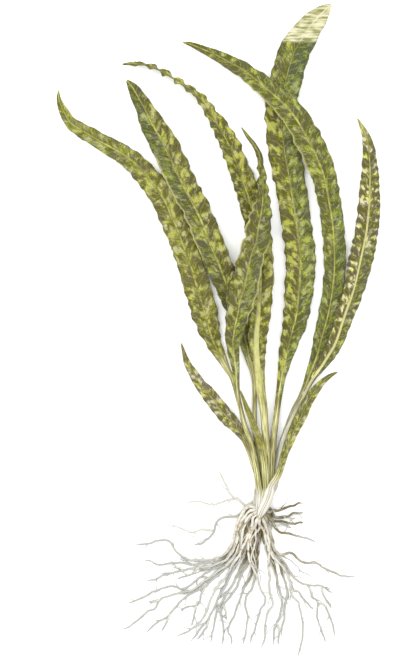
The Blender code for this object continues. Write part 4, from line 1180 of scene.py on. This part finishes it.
# Each root's darkness, its warmth and the mm from the crown up to which it keeps them
rootLooks = {
    "root_01": (0.9, 0.1, 34), "root_02": (0.85, 0.1, 34), "root_03": (0.95, 0.1, 36),
    "root_04": (0.9, 0.1, 36), "root_05": (0.6, 0.3, 80), "root_06": (0.3, 0.3, 60),
    "root_07": (0.05, 0.6, 80), "root_08": (1.2, 0.4, 56), "root_09": (1.2, 0.4, 54),
    "root_10": (0.1, 0.7, 84), "root_11": (0.05, 0.9, 66), "root_12": (1.4, 0.5, 46),
    "root_13": (1.4, 0.5, 56), "root_14": (1.4, 0.5, 44), "root_15": (1.0, 0.6, 50),
    "root_16": (0.7, 0.5, 44), "root_17": (0.05, 0.9, 92), "root_18": (0.8, 0.5, 50),
    "root_19": (0.05, 0.9, 96), "root_20": (0.8, 0.4, 50), "root_21": (0.05, 0.9, 76),
    "root_22": (0.7, 0.5, 60), "root_23": (0.1, 0.8, 84), "root_24": (0.15, 0.3, 24),
}


def makeRootMaterial():
    material, tree, shader = newMaterial("rootSkin")
    dark, warm, pale, _ = readAttribute(tree, "tones")
    place = addNode(tree, "ShaderNodeTexCoord").outputs["Object"]
    blotch = addNoise(tree, place, *rootSkin["blotches"])
    grain = addNoise(tree, place, *rootSkin["grain"])
    warmColor = ramp(tree, blotch, [
        (0.3, rootColors["brown"]), (0.4, rootColors["peach"]), (0.52, rootColors["cream"]),
    ])
    darkColor = ramp(tree, blotch, [(0.35, rootColors["dark"]), (0.65, rootColors["brown"])])
    color = mixColor(tree, warm, rootColors["grey"], warmColor)
    color = mixColor(tree, dark, color, darkColor)
    color = mixColor(tree, pale, color, rootColors["pale"])
    speck = times(tree, minus(tree, 0.56, grain), rootSkin["specks"], clamp=True)
    tree.links.new(mixColor(tree, speck, color, rootColors["dark"]), shader.inputs["Base Color"])
    shader.inputs["Roughness"].default_value = rootSkin["roughness"]
    addBump(tree, grain, *rootSkin["bump"])
    return material


def addStrand(bm, tones, points, radii, shades, sides):
    # one closed tapering tube: a rolled grid along the points, in mm, closed when the doubles merge
    count = len(points) - 1
    grid = bmesh.ops.create_grid(bm, x_segments=count, y_segments=sides, size=1.0)
    for vertex in grid["verts"]:
        number = round((vertex.co.x + 1) / 2 * count)
        turn = (vertex.co.y + 1) * math.pi
        along = (points[min(number + 1, count)] - points[max(number - 1, 0)]).normalized()
        aside = along.cross(Vector((0, 0, 1))).normalized()
        over = aside.cross(along)
        place = points[number] + (aside * math.cos(turn) + over * math.sin(turn)) * radii[number]
        vertex.co = keepInside(crownPlace + place * mm)
        vertex[tones] = (*shades[number], 1)


def stray(points, gone, seed, kink):
    # the route with the small bends of a grown root
    bent = []
    for number, (point, distance) in enumerate(zip(points, gone)):
        along = points[min(number + 1, len(points) - 1)] - points[max(number - 1, 0)]
        aside = Vector((-along.y, along.x, 0)).normalized()
        sway = 1.5 * wobble(distance / 8.5, seed, 2.5)
        sway += 0.8 * wobble(distance / 3.1, seed, 6.5)
        lift = abs(wobble(distance / 9, seed, 11.5)) * kink * 0.8
        hold = fade(distance, 0, 7)
        bent.append(point + aside * (sway * kink * hold) + Vector((0, 0, lift * hold)))
    return bent


def taper(gone, radius, seed):
    # radius along a root in mm: swollen here and there, and drawn to a point at the tip
    total = gone[-1]
    found = []
    for distance in gone:
        share = distance / total
        thinned = max(0.75 * fade(distance, *rootBuild["thinFrom"]), share ** 0.8)
        size = radius[0] + (radius[1] - radius[0]) * thinned
        size *= 1 + 0.22 * wobble(distance / 2.4, seed, 3.5)
        found.append(max(size * (1 - 0.8 * fade(share, 0.93, 1.0)), 0.06))
    return found


def shadeRoot(gone, seed, dark, warm, reach):
    # dark, warm and pale along a root: patchy and warm up to its reach, pale towards the tip
    shades = []
    for distance in gone:
        out = fade(distance, reach * 0.7, reach * 1.2)
        patch = 1 + 0.9 * wobble(distance / 6, seed, 21.5)
        shades.append((min(dark * patch, 1) * (1 - 0.85 * out), warm * (1 - fade(distance, 30, 56)), out))
    return shades


def addRootlets(bm, tones, chance, points, gone, shades, first, last):
    # thin side roots, left and right by turns, that come down to the floor and lie on it
    distance = first
    side = chance.choice((-1, 1))
    thick, thin = rootletBuild["radius"]
    spacing = rootletBuild["spacing"]
    while distance < last:
        number = min(range(len(gone)), key=lambda index: abs(gone[index] - distance))
        number = min(max(number, 1), len(points) - 2)
        heading = points[number + 1] - points[number - 1]
        angle = math.atan2(heading.y, heading.x)
        angle += side * math.radians(chance.uniform(*rootletBuild["turn"]))
        length = chance.uniform(*rootletBuild["long"]) * (1 - 0.55 * distance / gone[-1])
        start = points[number]
        place = start.copy()
        way = [place]
        seed = chance.uniform(0, 500)
        count = max(round(length / spacing), 3)
        back = -side * math.radians(chance.uniform(*rootletBuild["back"])) / count
        hump = chance.uniform(*rootletBuild["hump"])
        for part in range(1, count + 1):
            angle += back + 0.5 * wobble(part / 1.7, seed, 0.5)
            place = place + Vector((math.cos(angle), math.sin(angle), 0)) * spacing
            share = part / count
            sunk = (start.z - thick) * (1 - fade(share, 0, 0.45))
            place.z = thick + sunk + hump * math.sin(math.pi * share) ** 2
            way.append(place)
        dark, warm, pale = shades[number]
        radii = [thick + (thin - thick) * part / count for part in range(count + 1)]
        look = [(dark * 0.8, warm, pale + (1 - pale) * part / count) for part in range(count + 1)]
        addStrand(bm, tones, way, radii, look, rootletBuild["sides"])
        distance += chance.uniform(*rootletBuild["every"])
        side = -side


def fromCrown(rows):
    # a main root's route, led on into the crown
    x, y, z = rows[0]
    heart = (0.2 + x * 0.3, max(min(y * 0.6, 5.0), -5.0), 3.4 + z * 0.2)
    return [heart, *rows]


def readRoute(rows, spacing):
    stations = alongRoute(rows, spacing)
    return [Vector(row[:3]) for row, _ in stations], [gone for _, gone in stations]


def addBundleStrand(bm, tones, chance, rows, besideRows, warmth):
    # a finer root between two main ones, which winds over them in the bundle and then lies on the floor
    share = chance.uniform(*strandBuild["share"])
    line, _ = readRoute(rows, 0.5)
    beside, _ = readRoute(besideRows, 0.5)
    cut = chance.uniform(*strandBuild["cut"])
    phase = chance.uniform(0, 6.3)
    turn = chance.uniform(*strandBuild["turn"])
    high = chance.uniform(*strandBuild["high"]) * strandBuild["hump"]
    points = []
    for number in range(strandBuild["rings"] + 1):
        part = number / strandBuild["rings"] * cut
        one = line[round(part * (len(line) - 1))]
        other = beside[round(part * (len(beside) - 1))]
        points.append(one.lerp(other, share))
    gone = [0.0]
    for start, end in zip(points, points[1:]):
        gone.append(gone[-1] + (end - start).length)
    seed = chance.uniform(0, 900)
    points = stray(points, gone, seed, rootBuild["kink"] * 1.3)
    thick, thin = strandBuild["radius"]
    radii = taper(gone, (thick * chance.uniform(*strandBuild["thick"]), thin), seed)
    wound = []
    for point, distance, size in zip(points, gone, radii):
        here = fade(distance, 2, 12) * (1 - fade(distance, 34, 58))
        aside = strandBuild["twist"] * math.sin(phase + 2 * math.pi * distance / turn) * here
        wound.append(point + Vector((aside, 0, high * here + size)))
    shades = shadeRoot(gone, seed, chance.choice(strandBuild["dark"]), warmth, strandBuild["reach"])
    addStrand(bm, tones, wound, radii, shades, strandBuild["sides"])
    first = min(rootletBuild["start"][1], gone[-1] * 0.8)
    addRootlets(bm, tones, chance, wound, gone, shades, first, gone[-1] * 0.95)


def growRoots():
    material = makeRootMaterial()
    names = list(rootRoutes)
    firstBundled, lastBundled = (names.index(name) for name in rootBuild["bundle"])
    for index, name in enumerate(names):
        chance = random.Random(index + rootBuild["seed"])
        bm = bmesh.new()
        tones = bm.verts.layers.float_color.new("tones")
        bundled = firstBundled <= index <= lastBundled
        darkness, warmth, reach = rootLooks[name]
        forkReach = rootBuild["forkReach"][name in rootBuild["faintForks"]]
        routes = [(fromCrown(rootRoutes[name]), rootBuild["radius"], (darkness, warmth, reach))]
        for fork in rootForks.get(name, []):
            routes.append((fork, rootBuild["forkRadius"], (0.0, 0.3, forkReach)))
        for number, (rows, radius, look) in enumerate(routes):
            points, gone = readRoute(rows, rootBuild["spacing"])
            seed = index * 7.3 + number * 2.1
            points = stray(points, gone, seed, rootBuild["kink"])
            radii = taper(gone, radius, seed)
            points = [point + Vector((0, 0, size)) for point, size in zip(points, radii)]
            shades = shadeRoot(gone, seed, *look)
            addStrand(bm, tones, points, radii, shades, rootBuild["sides"])
            first = min(rootletBuild["start"][bundled and number == 0], gone[-1] * 0.6)
            addRootlets(bm, tones, chance, points, gone, shades, first, gone[-1] * 0.93)
        if bundled and index < lastBundled:
            beside = rootRoutes[names[index + 1]]
            addBundleStrand(bm, tones, chance, fromCrown(rootRoutes[name]), fromCrown(beside), warmth)
        closeEnds(bm)
        placePiece(bm, material, name)


growRoots()
print("roots are grown")
